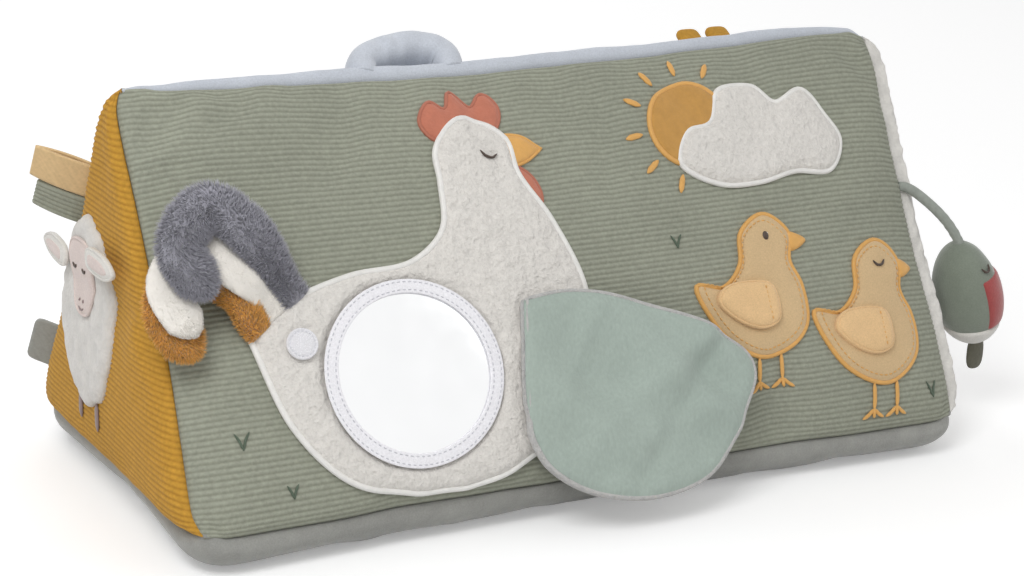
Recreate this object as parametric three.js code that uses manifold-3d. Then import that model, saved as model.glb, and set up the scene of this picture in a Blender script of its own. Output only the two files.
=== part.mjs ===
// Soft activity triangle: a stuffed three-sided play cushion for babies.
// Units are millimetres. The origin is on the floor under the middle of the base, +X runs along the
// length to the right, the front panel faces -Y and leans back, +Z is up.
import * as THREE from "three";
import { mergeVertices } from "three/addons/utils/BufferGeometryUtils.js";
import Module from "manifold-3d";

const wasm = await Module();
wasm.setup();

// Cover, measured on its seams
const LENGTH = 355; // between the end seams, at the corners
const SIDE = 184; // width of each long panel
const SEAM_LIFT = 16; // bottom seams over the floor
const LONG_CROWN = 9; // swell of the front and rear panels
const BASE_EDGE = 18; // width of the rolled edge of the base
const BASE_ROLL = 2.5; // base bulges out past its seams
const TOP_ROLL = 7; // rear panel rolls up over the top seam
const END_CROWN = 8; // swell of the end panels
const TOP_SAG = 7; // top seam drawn down, most left of the middle
const CORNER_PULL = 2; // panel corners drawn in where seams meet
const EDGE_PULL = 3; // bottom seams drawn in at mid length
const END_PULL = 4; // end seams drawn in between their corners
const FABRIC = 1.6; // thickness of the cover fabric
const CLEAR = 0.3; // space between neighbouring layers
const SEAM_GAP = 0.25; // half the space between two panels at a seam
const APEX_TRIM = 5; // end panels stop this far short of the top corner
const CORE_SLACK = 0.8; // stuffing under the cover fabric

// Front patches
const FELT = 1.6; // thickness of flat cloth patches
const FLEECE = 4; // thickness of fleece patches
const HEN_LEFT = 29; // hen patch from the left seam
const HEN_RISE = 5; // and from the bottom seam
const HEN_WIDE = 150;
const HEN_TALL = 155;
const MIRROR_LEFT = 95; // mirror centre from the left seam
const MIRROR_RISE = 54; // mirror centre from the bottom seam
const MIRROR_RADIUS = 36; // mirror disc
const MIRROR_THICK = 0.8;
const BACKING_THICK = 1.2; // foam behind the mirror
const RING_INNER = 33; // opening of the retaining ring
const RING_OUTER = 39;
const RING_COVER = 1.2; // ring fabric over the mirror rim
const DOT_LEFT = 49;
const DOT_RISE = 71;
const DOT_RADIUS = 6.5;
const DOT_THICK = 1.4;

// Wing flap
const FLAP_LONG = 106.4; // from its hinge to its tip
const FLAP_WIDE = 86;
const HINGE_LEFT = 141; // middle of the hinge seam
const HINGE_RISE = 50;
const HINGE_LEAN = 9.5; // degrees, top of the hinge seam leans right
const FLAP_LINING = 1; // jersey side
const FLAP_FILM = 0.5; // crinkle film
const FLAP_FLEECE = 2.6; // fleece side
const FLAP_TILT = 2.5; // degrees, lift of the open flap
const FLAP_FOLD = 2.2; // height of its soft fold

// Tail feathers
const PLUME_WIDTH = 18;
const PLUME_THICK = 5;
const PLUME_ROOT = 7.5; // width where it is sewn on
const PLUME_STEP = 5.5; // height of one feather over the next
const PLUME_HOOK = 16; // rise of its hook

// Chicks, cloud and sun, measured from the right seam
const CHICK_WIDE = 52;
const CHICK_TALL = 63;
const CHICK_A_RIGHT = 95;
const CHICK_A_RISE = 66;
const CHICK_B_RIGHT = 40;
const CHICK_B_RISE = 48;
const CHICK_WING_LONG = 27;
const CHICK_WING_WIDE = 20;
const CHICK_WING_THICK = 4;
const CLOUD_WIDE = 83;
const CLOUD_TALL = 45;
const CLOUD_RIGHT = 74;
const CLOUD_DROP = 47; // below the top seam
const SUN_RIGHT = 108;
const SUN_DROP = 38;
const SUN_RADIUS = 19;

// Left end
const SHEEP_FORWARD = -15; // sheep centre from the middle of the end, toward the front
const SHEEP_RISE = 79;
const SHEEP_WIDE = 52;
const SHEEP_TALL = 78;
const FACE_WIDE = 24;
const FACE_TALL = 32;
const FACE_UP = 16; // face centre over the sheep centre
const FRONT_EAR_UP = 12; // ears over the face centre
const REAR_EAR_UP = 4;
const EAR_SPREAD = 16; // ears beside the face centre
const EAR_LONG = 27;
const EAR_WIDE = 13;
const EAR_THICK = 3;
const TAB_THICK = 3.2;
const OCHRE_TAB_WIDE = 17;
const OCHRE_TAB_LONG = 31;
const OCHRE_TAB_RISE = 128; // up the left rear seam
const SAGE_TAB_WIDE = 14;
const SAGE_TAB_LONG = 29;
const TAB_SPACE = 1.8; // between the two ribbon tabs
const LABEL_WIDE = 24;
const LABEL_LONG = 14;
const LABEL_THICK = 1.4;
const LABEL_RISE = 30;

// Right end
const CORD_DIAMETER = 4.6;
const CORD_RISE = 108; // up the front right seam
const BIRD_TALL = 50;
const BIRD_WIDE = 35;
const BIRD_DEEP = 29;
const BIRD_STANDOFF = 8; // bird clear of the swollen end panel
const BIRD_FORWARD = 50; // bird centre in front of the middle
const BIRD_RISE = 60; // bird centre over the floor
const BIRD_LEAN = 16; // degrees, top of the bird leans to the end panel
const BREAST_OUT = 3; // breast starts this far out from the bird's middle
const BREAST_TOP = 9;
const BELLY_TOP = -15;
const BIRD_SWAY = 25; // degrees, to and fro at the end of its cord
const TAIL_LONG = 15;
const TAIL_WIDE = 7;

// Rear, near the top seam
const LOOP_CENTRE = -49; // along the length
const LOOP_SPAN = 40;
const LOOP_RISE = 16;
const LOOP_WIDE = 15;
const LOOP_THICK = 9;
const LOOP_DROP = 12; // below the top seam
const REAR_TAB_CENTRE = 102;
const REAR_TAB_PITCH = 15;
const REAR_TAB_WIDE = 11;
const REAR_TAB_TALL = 10;
const REAR_TAB_THICK = 4;
const REAR_TAB_DROP = 13;

const ROOT3 = Math.sqrt(3);
const INRADIUS = SIDE / (2 * ROOT3);
const CENTRE_Z = SEAM_LIFT + INRADIUS;
const trimU = SEAM_GAP / LENGTH;
const trimV = SEAM_GAP / SIDE;

const toy = new THREE.Group();
toy.name = "soft_activity_triangle";

// Cover surface

// 0 at both ends of a seam, 1 in its middle
function dip(t) {
  return 4 * t * (1 - t);
}

// Swell across a stuffed panel: steep beside the seams, nearly flat in the middle
function puff(t) {
  return Math.sqrt(Math.max(0, 1 - (2 * t - 1) ** 4));
}

// 1 at both ends of a seam, falling off quickly from its corners
function corner(t) {
  return (2 * t - 1) ** 16;
}

// Rise and fall of a rolled edge with the distance from its seam
function hump(distance) {
  const reach = Math.max(0, distance) / 7;
  return reach * Math.exp(1 - reach);
}

// Share of the way across a panel, counted between its own two edges
function between(t, gap) {
  return Math.min(1, Math.max(0, (t - gap) / (1 - 2 * gap)));
}

// Seam prism at a depth inside the outer face of the cover
function section(depth) {
  const inradius = INRADIUS - depth;
  return {
    half: LENGTH / 2 - depth,
    foot: inradius * ROOT3,
    low: CENTRE_Z - inradius,
    top: CENTRE_Z + 2 * inradius,
  };
}

// Front (side -1) or rear (side 1): u runs along the length, v up the slope
function longFace(side, u, v, depth) {
  const s = section(depth);
  const seamY = s.foot - EDGE_PULL * dip(u) - CORNER_PULL * corner(u);
  const seamZ = s.top - TOP_SAG * dip(Math.max(0, u) ** 0.75) - CORNER_PULL * corner(u);
  const wide = puff(between(u, trimU));
  const rise = between(v, trimV);
  const swell = LONG_CROWN * wide * puff(rise);
  const roll = side > 0 ? TOP_ROLL * wide * hump((1 - rise) * SIDE) : 0;
  return new THREE.Vector3(
    (2 * u - 1) * (s.half - END_PULL * dip(v) - CORNER_PULL * corner(v)),
    side * (seamY * (1 - v) + (swell * ROOT3) / 2),
    s.low + (seamZ - s.low) * v + swell / 2 + roll
  );
}

// Turn of the base's rolled edge: 0 at the seam, a quarter turn where it meets the floor
function edgeTurn(t, size) {
  return Math.min(1, (Math.min(t, 1 - t) * size) / BASE_EDGE) * (Math.PI / 2);
}

// Shift of the base's rolled edge along a coordinate from -1 to 1: it hangs near the seam and bulges
function edgeShift(t, size) {
  const turn = edgeTurn(t, size);
  const inward = Math.min(BASE_EDGE, Math.min(t, 1 - t) * size);
  const hang = inward - BASE_EDGE * (1 - Math.cos(turn)) + BASE_ROLL * Math.sin(2 * turn);
  return (Math.sign(t - 0.5) * 2 * hang) / size;
}

// Base: u along the length, w from front to rear, flat on the floor inside its rolled edge
function baseFace(u, w, depth) {
  const s = section(depth);
  const along = between(u, trimU);
  const across = between(w, trimV);
  const fallU = Math.sin(edgeTurn(along, LENGTH));
  const fallW = Math.sin(edgeTurn(across, SIDE));
  const seamX = s.half - END_PULL * dip(w) - CORNER_PULL * corner(w);
  const seamY = s.foot - EDGE_PULL * dip(u) - CORNER_PULL * corner(u);
  return new THREE.Vector3(
    (2 * u - 1 + edgeShift(along, LENGTH) * fallW) * seamX,
    (2 * w - 1 + edgeShift(across, SIDE) * fallU) * seamY,
    s.low - SEAM_LIFT * fallU * fallW
  );
}

// Gap at the sides of an end panel at a height, as a share of its width there
function endGap(t) {
  return t < 1 ? Math.min(0.4, trimV / (1 - t)) : 0;
}

// End (side -1 left, 1 right): s runs from front to rear, t from the base to the top corner
function endFace(side, s, t, depth) {
  const u = side < 0 ? 0 : 1;
  const point = longFace(-1, u, t, depth).lerp(longFace(1, u, t, depth), s);
  const pull = END_PULL * dip(s) + CORNER_PULL * (corner(s) - 1);
  const swell = END_CROWN * puff(between(s, endGap(t))) * puff(between(t, trimV));
  point.x += side * (swell - (1 - t) * pull);
  return point;
}

// Grid lines from 0 to 1, closer together beside the seams
function lines(count, edge) {
  const list = [];
  for (let i = 0; i <= count; i += 1) {
    const even = i / count;
    const bunched = 0.5 - 0.5 * Math.cos(Math.PI * even);
    list.push((even + bunched) / 2);
  }
  list.splice(1, 0, edge);
  list.splice(list.length - 1, 0, 1 - edge);
  return list;
}

const ALONG = lines(12, 0.013);
const UP = lines(8, 0.022);
const ACROSS = lines(8, 0.022);

// Lines of a panel, with the two seams beside it added as lines below 0 and above 1
function seamed(list) {
  return [-1, ...list, 2];
}

// Place of a line: a panel starts a gap away from its seams
function inset(line, gap) {
  if (line < 0) {
    return 0;
  }
  return line > 1 ? 1 : gap + line * (1 - 2 * gap);
}

function longLine(side, depth) {
  return (u, v) => longFace(side, inset(u, trimU), inset(v, trimV), depth);
}

function baseLine(depth) {
  return (u, w) => baseFace(inset(u, trimU), inset(w, trimV), depth);
}

function endLine(side, depth) {
  return (s, v) => {
    const t = inset(v, trimV);
    return endFace(side, inset(s, endGap(t)), t, depth);
  };
}

// Meshes

function triangle(out, a, b, c) {
  const area = new THREE.Triangle(a, b, c).getArea();
  if (area > 1e-7) {
    out.push(a, b, c);
  }
}

function addGrid(out, us, vs, point, flip) {
  for (let i = 0; i + 1 < us.length; i += 1) {
    for (let j = 0; j + 1 < vs.length; j += 1) {
      const a = point(us[i], vs[j]);
      const b = point(us[i + 1], vs[j]);
      const c = point(us[i + 1], vs[j + 1]);
      const d = point(us[i], vs[j + 1]);
      if (flip) {
        triangle(out, a, c, b);
        triangle(out, a, d, c);
      } else {
        triangle(out, a, b, c);
        triangle(out, a, c, d);
      }
    }
  }
}

function volumeOf(points) {
  let sum = 0;
  const normal = new THREE.Vector3();
  for (let i = 0; i < points.length; i += 3) {
    normal.crossVectors(points[i + 1], points[i + 2]);
    sum += points[i].dot(normal);
  }
  return sum / 6;
}

// Closed geometry from loose triangles, turned to face outward
function closed(points) {
  const ordered = points.slice();
  if (volumeOf(points) < 0) {
    for (let i = 0; i < ordered.length; i += 3) {
      const swap = ordered[i + 1];
      ordered[i + 1] = ordered[i + 2];
      ordered[i + 2] = swap;
    }
  }
  const geometry = new THREE.BufferGeometry().setFromPoints(ordered);
  return mergeVertices(geometry, 1e-4);
}

// Sheet between an outer and an inner surface over the same grid lines
function sheet(us, vs, outer, inner) {
  const out = [];
  addGrid(out, us, vs, outer, false);
  addGrid(out, us, vs, inner, true);
  const last = us.length - 1;
  const top = vs.length - 1;
  const wall = (p, q, p2, q2) => {
    triangle(out, outer(p, q), inner(p, q), inner(p2, q2));
    triangle(out, outer(p, q), inner(p2, q2), outer(p2, q2));
  };
  for (let i = 0; i < last; i += 1) {
    wall(us[i], vs[0], us[i + 1], vs[0]);
    wall(us[i + 1], vs[top], us[i], vs[top]);
  }
  for (let j = 0; j < top; j += 1) {
    wall(us[last], vs[j], us[last], vs[j + 1]);
    wall(us[0], vs[j + 1], us[0], vs[j]);
  }
  return closed(out);
}

// Whole stuffed form at a depth inside the cover
function stuffed(depth) {
  const along = seamed(ALONG);
  const up = seamed(UP);
  const across = seamed(ACROSS);
  const out = [];
  addGrid(out, along, up, longLine(-1, depth), false);
  addGrid(out, along, up, longLine(1, depth), true);
  addGrid(out, along, across, baseLine(depth), true);
  addGrid(out, across, up, endLine(-1, depth), true);
  addGrid(out, across, up, endLine(1, depth), false);
  return closed(out);
}

// Tapered padded form along a curve; up is the thin direction
function padded(curve, up, halfWidth, halfThick, steps, sides) {
  const rows = [];
  for (let i = 1; i < steps; i += 1) {
    const t = 0.5 - 0.5 * Math.cos((Math.PI * i) / steps);
    const centre = curve.getPointAt(t);
    const across = new THREE.Vector3().crossVectors(up, curve.getTangentAt(t)).normalize();
    const row = [];
    for (let k = 0; k < sides; k += 1) {
      const angle = (2 * Math.PI * k) / sides;
      const point = centre.clone();
      point.addScaledVector(across, halfWidth(t) * Math.cos(angle));
      point.addScaledVector(up, halfThick(t) * Math.sin(angle));
      row.push(point);
    }
    rows.push(row);
  }
  const out = [];
  const start = curve.getPointAt(0);
  const finish = curve.getPointAt(1);
  for (let k = 0; k < sides; k += 1) {
    const n = (k + 1) % sides;
    triangle(out, start, rows[0][n], rows[0][k]);
    triangle(out, finish, rows[rows.length - 1][k], rows[rows.length - 1][n]);
    for (let i = 0; i + 1 < rows.length; i += 1) {
      triangle(out, rows[i][k], rows[i][n], rows[i + 1][n]);
      triangle(out, rows[i][k], rows[i + 1][n], rows[i + 1][k]);
    }
  }
  return closed(out);
}

// Flat cushion over a star-shaped outline, thickest inside and thin at its edge
function cushion(outline, thick, centre) {
  const out = [];
  const rings = [0.62, 1];
  const place = (point, ring, side) => {
    const x = centre.x + (point.x - centre.x) * ring;
    const y = centre.y + (point.y - centre.y) * ring;
    const z = (side * thick * Math.sqrt(Math.max(0, 1 - ring ** 4) * 0.84 + 0.16)) / 2;
    return new THREE.Vector3(x, y, z);
  };
  outline.forEach((point, i) => {
    const next = outline[(i + 1) % outline.length];
    [1, -1].forEach((side) => {
      const middle = new THREE.Vector3(centre.x, centre.y, (side * thick) / 2);
      const first = place(point, rings[0], side);
      const second = place(next, rings[0], side);
      triangle(out, middle, side > 0 ? first : second, side > 0 ? second : first);
      for (let r = 0; r + 1 < rings.length; r += 1) {
        const a = place(point, rings[r], side);
        const b = place(point, rings[r + 1], side);
        const c = place(next, rings[r + 1], side);
        const d = place(next, rings[r], side);
        triangle(out, a, side > 0 ? b : c, side > 0 ? c : b);
        triangle(out, a, side > 0 ? c : d, side > 0 ? d : c);
      }
    });
    triangle(out, place(point, 1, -1), place(next, 1, -1), place(next, 1, 1));
    triangle(out, place(point, 1, -1), place(next, 1, 1), place(point, 1, 1));
  });
  return closed(out);
}

// Joining and cutting

function solidOf(geometry) {
  const bare = new THREE.BufferGeometry();
  bare.setAttribute("position", geometry.getAttribute("position"));
  bare.setIndex(geometry.getIndex());
  const merged = mergeVertices(bare, 1e-4);
  const mesh = new wasm.Mesh({
    numProp: 3,
    vertProperties: new Float32Array(merged.getAttribute("position").array),
    triVerts: new Uint32Array(merged.getIndex().array),
  });
  mesh.merge();
  return new wasm.Manifold(mesh);
}

function geometryOf(solid) {
  const mesh = solid.getMesh();
  const geometry = new THREE.BufferGeometry();
  geometry.setAttribute("position", new THREE.BufferAttribute(new Float32Array(mesh.vertProperties), 3));
  geometry.setIndex(new THREE.BufferAttribute(new Uint32Array(mesh.triVerts), 1));
  return geometry;
}

function piece(name, geometry, colour, roughness, parent = toy, metalness = 0) {
  geometry.computeVertexNormals();
  const material = new THREE.MeshStandardMaterial({ color: colour, roughness, metalness });
  const mesh = new THREE.Mesh(geometry, material);
  mesh.name = name;
  parent.add(mesh);
  return mesh;
}

// Places on the panels

function normalAt(point, a, b) {
  const step = 0.5;
  const along = point(a + step, b).sub(point(a - step, b));
  const up = point(a, b + step).sub(point(a, b - step));
  return along.cross(up).normalize();
}

// Front panel: a from the left seam, b from the bottom seam, lifted off the panel
function onFront(a, b, lift) {
  const surface = (p, q) => longFace(-1, p / LENGTH, q / SIDE, 0);
  return surface(a, b).addScaledVector(normalAt(surface, a, b), lift);
}

// Left end: a toward the front from the middle, b over the floor
function onLeft(a, b, lift) {
  const s = section(0);
  const surface = (p, q) => {
    const t = (q - s.low) / (s.top - s.low);
    return endFace(-1, (1 - p / (s.foot * (1 - t))) / 2, t, 0);
  };
  return surface(a, b).addScaledVector(normalAt(surface, a, b), lift);
}

// Rear panel: x along the length, b from the bottom seam
function onRear(x, b, lift) {
  const surface = (p, q) => longFace(1, 0.5 - p / LENGTH, q / SIDE, 0);
  return surface(-x, b).addScaledVector(normalAt(surface, -x, b), lift);
}

const FRONT = {
  place: onFront,
  columns: ALONG.map((u) => inset(u, trimU) * LENGTH),
  rows: UP.map((v) => inset(v, trimV) * SIDE),
};

// The left end narrows upward, so its patches follow the panel's own lines
const LEFT = {
  place: onLeft,
  layer: (low, high) => {
    const raised = (lift) => (s, v) => {
      const point = endLine(-1, 0)(s, v);
      return onLeft(-point.y, point.z, lift);
    };
    return sheet(ACROSS.slice(1, -1), UP.slice(1, -1), raised(high), raised(low));
  },
};

// Grid lines that enclose a span
function spanning(list, low, high) {
  const from = list.findLastIndex((value) => value < low);
  const to = list.findIndex((value) => value > high);
  return list.slice(Math.max(0, from), to < 0 ? list.length : to + 1);
}

// Column through a panel with the given outline
function columnOf(panel, outline) {
  const contour = THREE.ShapeUtils.isClockWise(outline) ? outline.slice().reverse() : outline;
  const faces = THREE.ShapeUtils.triangulateShape(contour, []);
  const reach = [-12, 24];
  const point = (i, level) => panel.place(contour[i].x, contour[i].y, reach[level]);
  const out = [];
  faces.forEach(([a, b, c]) => {
    triangle(out, point(a, 1), point(b, 1), point(c, 1));
    triangle(out, point(a, 0), point(c, 0), point(b, 0));
  });
  contour.forEach((_, i) => {
    const n = (i + 1) % contour.length;
    triangle(out, point(i, 0), point(n, 0), point(n, 1));
    triangle(out, point(i, 0), point(n, 1), point(i, 1));
  });
  return solidOf(closed(out));
}

// Patch with an outline that lies on a panel between two heights
function patch(panel, outline, low, high) {
  if (panel.layer) {
    return solidOf(panel.layer(low, high)).intersect(columnOf(panel, outline));
  }
  const box = new THREE.Box2().setFromPoints(outline);
  const us = spanning(panel.columns, box.min.x, box.max.x);
  const vs = spanning(panel.rows, box.min.y, box.max.y);
  const layer = sheet(
    us,
    vs,
    (a, b) => panel.place(a, b, high),
    (a, b) => panel.place(a, b, low)
  );
  return solidOf(layer).intersect(columnOf(panel, outline));
}

// Outlines

function point2(x, y) {
  return new THREE.Vector2(x, y);
}

function disc(x, y, radius, count) {
  const list = [];
  for (let i = 0; i < count; i += 1) {
    const angle = (2 * Math.PI * i) / count;
    list.push(point2(x + radius * Math.cos(angle), y + radius * Math.sin(angle)));
  }
  return list;
}

// Drawn points brought to a width and a height
function sized(points, wide, tall) {
  const drawn = new THREE.Box2().setFromPoints(points.map(([x, y]) => point2(x, y)));
  const size = drawn.getSize(point2(0, 0));
  return points.map(([x, y]) => [(x * wide) / size.x, (y * tall) / size.y]);
}

// Smooth closed outline through a few points
function smooth(points, count) {
  const curve = new THREE.CatmullRomCurve3(
    points.map(([x, y]) => new THREE.Vector3(x, y, 0)),
    true,
    "centripetal"
  );
  return curve.getPoints(count).slice(0, -1).map((p) => point2(p.x, p.y));
}

// Outline that leaves and reaches its first point with a corner there
function cornered(points, count) {
  const path = new THREE.Path();
  path.moveTo(points[0][0], points[0][1]);
  path.splineThru(points.slice(1).concat([points[0]]).map(([x, y]) => point2(x, y)));
  const list = path.getSpacedPoints(count);
  return list.slice(0, -1);
}

// Outline moved out by a distance
function grown(outline, distance) {
  const turn = THREE.ShapeUtils.isClockWise(outline) ? -1 : 1;
  return outline.map((p, i) => {
    const before = outline[(i + outline.length - 1) % outline.length];
    const after = outline[(i + 1) % outline.length];
    const away = point2(after.y - before.y, before.x - after.x).normalize();
    return p.clone().addScaledVector(away, turn * distance);
  });
}

function moved(outline, x, y) {
  return outline.map((p) => point2(p.x + x, p.y + y));
}

// Cover and stuffing

const SAGE = 0x9a9d8e;
const OCHRE = 0xbf9450;
const WHITE = 0xdbd8d2;
const BLUE = 0xbfc6cf;
const GREY = 0x8e8f89;

piece("stuffing_core", stuffed(FABRIC + CORE_SLACK), 0xf2f0ea, 0.95);

const front = sheet(ALONG, UP, longLine(-1, 0), longLine(-1, FABRIC));
piece("front_panel", front, SAGE, 0.9);
const rear = sheet(ALONG, UP, longLine(1, 0), longLine(1, FABRIC));
piece("rear_panel", rear, BLUE, 0.9);
const base = sheet(ALONG, ACROSS, baseLine(0), baseLine(FABRIC));
piece("base_panel", base, GREY, 0.9);

// End panels stop just short of the top corner, where they come to a point
const endRows = UP.slice(0, -1).concat([1 - (APEX_TRIM * 2) / (SIDE * ROOT3)]);
const leftEnd = sheet(ACROSS, endRows, endLine(-1, 0), endLine(-1, FABRIC));
piece("left_end_panel", leftEnd, OCHRE, 0.95);
const rightEnd = sheet(ACROSS, endRows, endLine(1, 0), endLine(1, FABRIC));
piece("right_end_panel", rightEnd, WHITE, 0.95);

// What is sewn into a seam or onto a panel is trimmed by this form
const keepOut = solidOf(stuffed(-CLEAR));

// Mirror under its ring

const onPanel = CLEAR;
const backingTop = onPanel + BACKING_THICK;
const mirrorLow = backingTop + CLEAR;
const mirrorTop = mirrorLow + MIRROR_THICK;
const ringTop = mirrorTop + CLEAR + RING_COVER;
const mirrorDisc = (radius, count = 36) => disc(MIRROR_LEFT, MIRROR_RISE, radius, count);

const backing = patch(FRONT, mirrorDisc(RING_OUTER), onPanel, backingTop);
piece("mirror_backing", geometryOf(backing), 0xe8e6e0, 0.95);
const mirror = patch(FRONT, mirrorDisc(MIRROR_RADIUS), mirrorLow, mirrorTop);
piece("mirror_disc", geometryOf(mirror), 0xf4f6f8, 0.04, toy, 1);
const ringBlank = patch(FRONT, mirrorDisc(RING_OUTER), mirrorLow, ringTop);
const mirrorRoom = patch(FRONT, mirrorDisc(MIRROR_RADIUS + CLEAR), mirrorLow - 1, mirrorTop + CLEAR);
const ring = ringBlank.subtract(mirrorRoom).subtract(columnOf(FRONT, mirrorDisc(RING_INNER)));
piece("mirror_ring", geometryOf(ring), 0xe6e5e6, 0.7);

// Hen patch with the mirror in its middle

// The hen's drawing starts at its left and lower edges, and its comb, beak, wattle and feathers share it
const henDrawing = [
  [0, 73],
  [19, 84],
  [47, 92],
  [75, 95],
  [91, 107],
  [95, 127],
  [97, 143],
  [113, 155],
  [129, 144],
  [131, 127],
  [141, 107],
  [150, 79],
  [147, 47],
  [129, 19],
  [99, 3],
  [65, 0],
  [33, 9],
  [12, 33],
];
const henSpan = new THREE.Box2().setFromPoints(henDrawing.map(([x, y]) => point2(x, y))).max;

function onHen(points) {
  return points.map(([x, y]) => [
    HEN_LEFT + (x * HEN_WIDE) / henSpan.x,
    HEN_RISE + (y * HEN_TALL) / henSpan.y,
  ]);
}

const henOutline = cornered(onHen(henDrawing), 60);
const henTop = onPanel + FLEECE;
const henWindow = columnOf(FRONT, mirrorDisc(RING_OUTER + CLEAR));
const henPatch = patch(FRONT, henOutline, onPanel, henTop).subtract(henWindow);
piece("hen_patch", geometryOf(henPatch), WHITE, 0.95);
const henRoom = columnOf(FRONT, grown(henOutline, CLEAR));

function beside(name, outline, colour) {
  const cloth = patch(FRONT, outline, onPanel, onPanel + FELT).subtract(henRoom);
  piece(name, geometryOf(cloth), colour, 0.85);
}

const combOutline = smooth(
  onHen([
    [97, 147],
    [93, 155],
    [99, 163],
    [105, 159],
    [110, 168],
    [118, 161],
    [124, 166],
    [130, 158],
    [127, 149],
    [112, 143],
  ]),
  40
);
beside("hen_comb", combOutline, 0xc8775f);
const beakOutline = cornered(
  onHen([
    [145, 138],
    [135, 144],
    [121, 145],
    [121, 131],
    [135, 132],
  ]),
  24
);
beside("hen_beak", beakOutline, 0xd9a94e);
const wattleOutline = smooth(
  onHen([
    [129, 131],
    [137, 126],
    [140, 117],
    [136, 109],
    [129, 113],
    [125, 123],
  ]),
  22
);
beside("hen_wattle", wattleOutline, 0xc8775f);

const dotLow = henTop + CLEAR;
const dot = patch(FRONT, disc(DOT_LEFT, DOT_RISE, DOT_RADIUS, 20), dotLow, dotLow + DOT_THICK);
piece("closure_dot", geometryOf(dot), 0xdedde2, 0.5);

// Wing flap: film between two fabrics, hinged on the hen patch

const flapThick = FLAP_LINING + FLAP_FILM + FLAP_FLEECE + 2 * CLEAR;
const flapLow = henTop + 2 * CLEAR;
const flapHinge = new THREE.Group();
flapHinge.name = "wing_flap_hinge";
const hingePoint = onFront(HINGE_LEFT, HINGE_RISE, flapLow + flapThick / 2);
const hingeNormal = normalAt((a, b) => onFront(a, b, 0), HINGE_LEFT, HINGE_RISE);
const hingeRight = new THREE.Vector3(1, 0, 0);
hingeRight.addScaledVector(hingeNormal, -hingeRight.dot(hingeNormal)).normalize();
hingeRight.applyAxisAngle(hingeNormal, -THREE.MathUtils.degToRad(HINGE_LEAN));
const hingeUp = new THREE.Vector3().crossVectors(hingeNormal, hingeRight);
flapHinge.applyMatrix4(new THREE.Matrix4().makeBasis(hingeRight, hingeUp, hingeNormal));
flapHinge.position.copy(hingePoint);
toy.add(flapHinge);

const flapDrawing = [
  [0.6, 23],
  [20, 30],
  [43, 33],
  [66, 31],
  [90, 22],
  [105, 11],
  [107, 1],
  [102, -14],
  [94, -31],
  [78, -45],
  [52, -53],
  [27, -51],
  [8, -40],
  [0.6, -22],
];
const flapOutline = cornered(sized(flapDrawing, FLAP_LONG, FLAP_WIDE), 44);

// Middle surface of the open flap: lifted toward its tip, with one soft diagonal fold
function flapHeight(x, y) {
  const across = (x - FLAP_LONG * 0.583) * 0.9 - (y + FLAP_WIDE * 0.116) * 0.44;
  const reach = Math.min(1, Math.max(0, x / (FLAP_LONG * 0.376)));
  const fold = FLAP_FOLD * reach * Math.exp(-((across / (FLAP_LONG * 0.122)) ** 2));
  return x * Math.tan(THREE.MathUtils.degToRad(FLAP_TILT)) + fold;
}

const FLAP = {
  place: (x, y, lift) => new THREE.Vector3(x, y, flapHeight(x, y) + lift),
  columns: Array.from({ length: 10 }, (_, i) => FLAP_LONG * (i * 0.122 - 0.038)),
  rows: Array.from({ length: 9 }, (_, i) => FLAP_WIDE * (i * 0.151 - 0.72)),
};

function flapLayer(name, low, thick, inset, colour, roughness) {
  const outline = inset > 0 ? grown(flapOutline, -inset) : flapOutline;
  const layer = patch(FLAP, outline, low, low + thick);
  piece(name, geometryOf(layer), colour, roughness, flapHinge);
  return low + thick + CLEAR;
}

const filmLow = flapLayer("flap_fleece", -flapThick / 2, FLAP_FLEECE, 0, WHITE, 0.95);
const liningLow = flapLayer("flap_crinkle_film", filmLow, FLAP_FILM, 3, 0xc9cdd0, 0.3);
flapLayer("flap_lining", liningLow, FLAP_LINING, 0, 0xa9b6ad, 0.9);

// Tail feathers: hooked padded strips that overlap each other

function overFront(a, b, height) {
  const slope = new THREE.Vector3(0, 0.5, ROOT3 / 2);
  const out = new THREE.Vector3(0, -ROOT3 / 2, 0.5);
  const corner = new THREE.Vector3(-LENGTH / 2 + a, -SIDE / 2, SEAM_LIFT);
  return corner.addScaledVector(slope, b).addScaledVector(out, height);
}

const frontOut = new THREE.Vector3(0, -ROOT3 / 2, 0.5);

function plume(name, root, bend, level, colour) {
  const low = LONG_CROWN + 5 * CLEAR;
  const high = low + level * PLUME_STEP;
  const sewn = low + PLUME_THICK * 0.2;
  const [start, turn] = onHen([root, bend]);
  const from = (p, right, up, lift) => overFront(p[0] + PLUME_HOOK * right, p[1] + PLUME_HOOK * up, lift);
  const curve = new THREE.CatmullRomCurve3([
    from(start, 0.25, -0.375, sewn),
    from(start, 0, 0, sewn),
    from(turn, 0.9375, 0.1875, high),
    from(turn, 0, 1, high),
    from(turn, -0.9375, 0.125, high),
    from(turn, -0.4375, -1.125, high),
  ]);
  const half = (t) => {
    const spread = THREE.MathUtils.smoothstep(t, 0.12, 0.5);
    const width = PLUME_ROOT + (PLUME_WIDTH - PLUME_ROOT) * spread;
    return (width / 2) * Math.min(1, Math.sqrt(Math.max(0, 1 - t) * 14));
  };
  const thick = (t) => (PLUME_THICK / 2) * Math.min(1, Math.sqrt(Math.max(0, 1 - t) * 20));
  const body = padded(curve, frontOut, half, thick, 18, 10);
  const clear = solidOf(body).subtract(henRoom).subtract(keepOut);
  piece(name, geometryOf(clear), colour, 0.95);
}

plume("plume_ochre", [2, 77], [-18, 84], 0, 0xb0803f);
plume("plume_cream", [10.5, 83], [-18, 91], 1, 0xdcd8d0);
plume("plume_grey", [20, 88], [-12, 105], 2, 0x7e7d85);

// Chicks with loose wings

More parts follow.
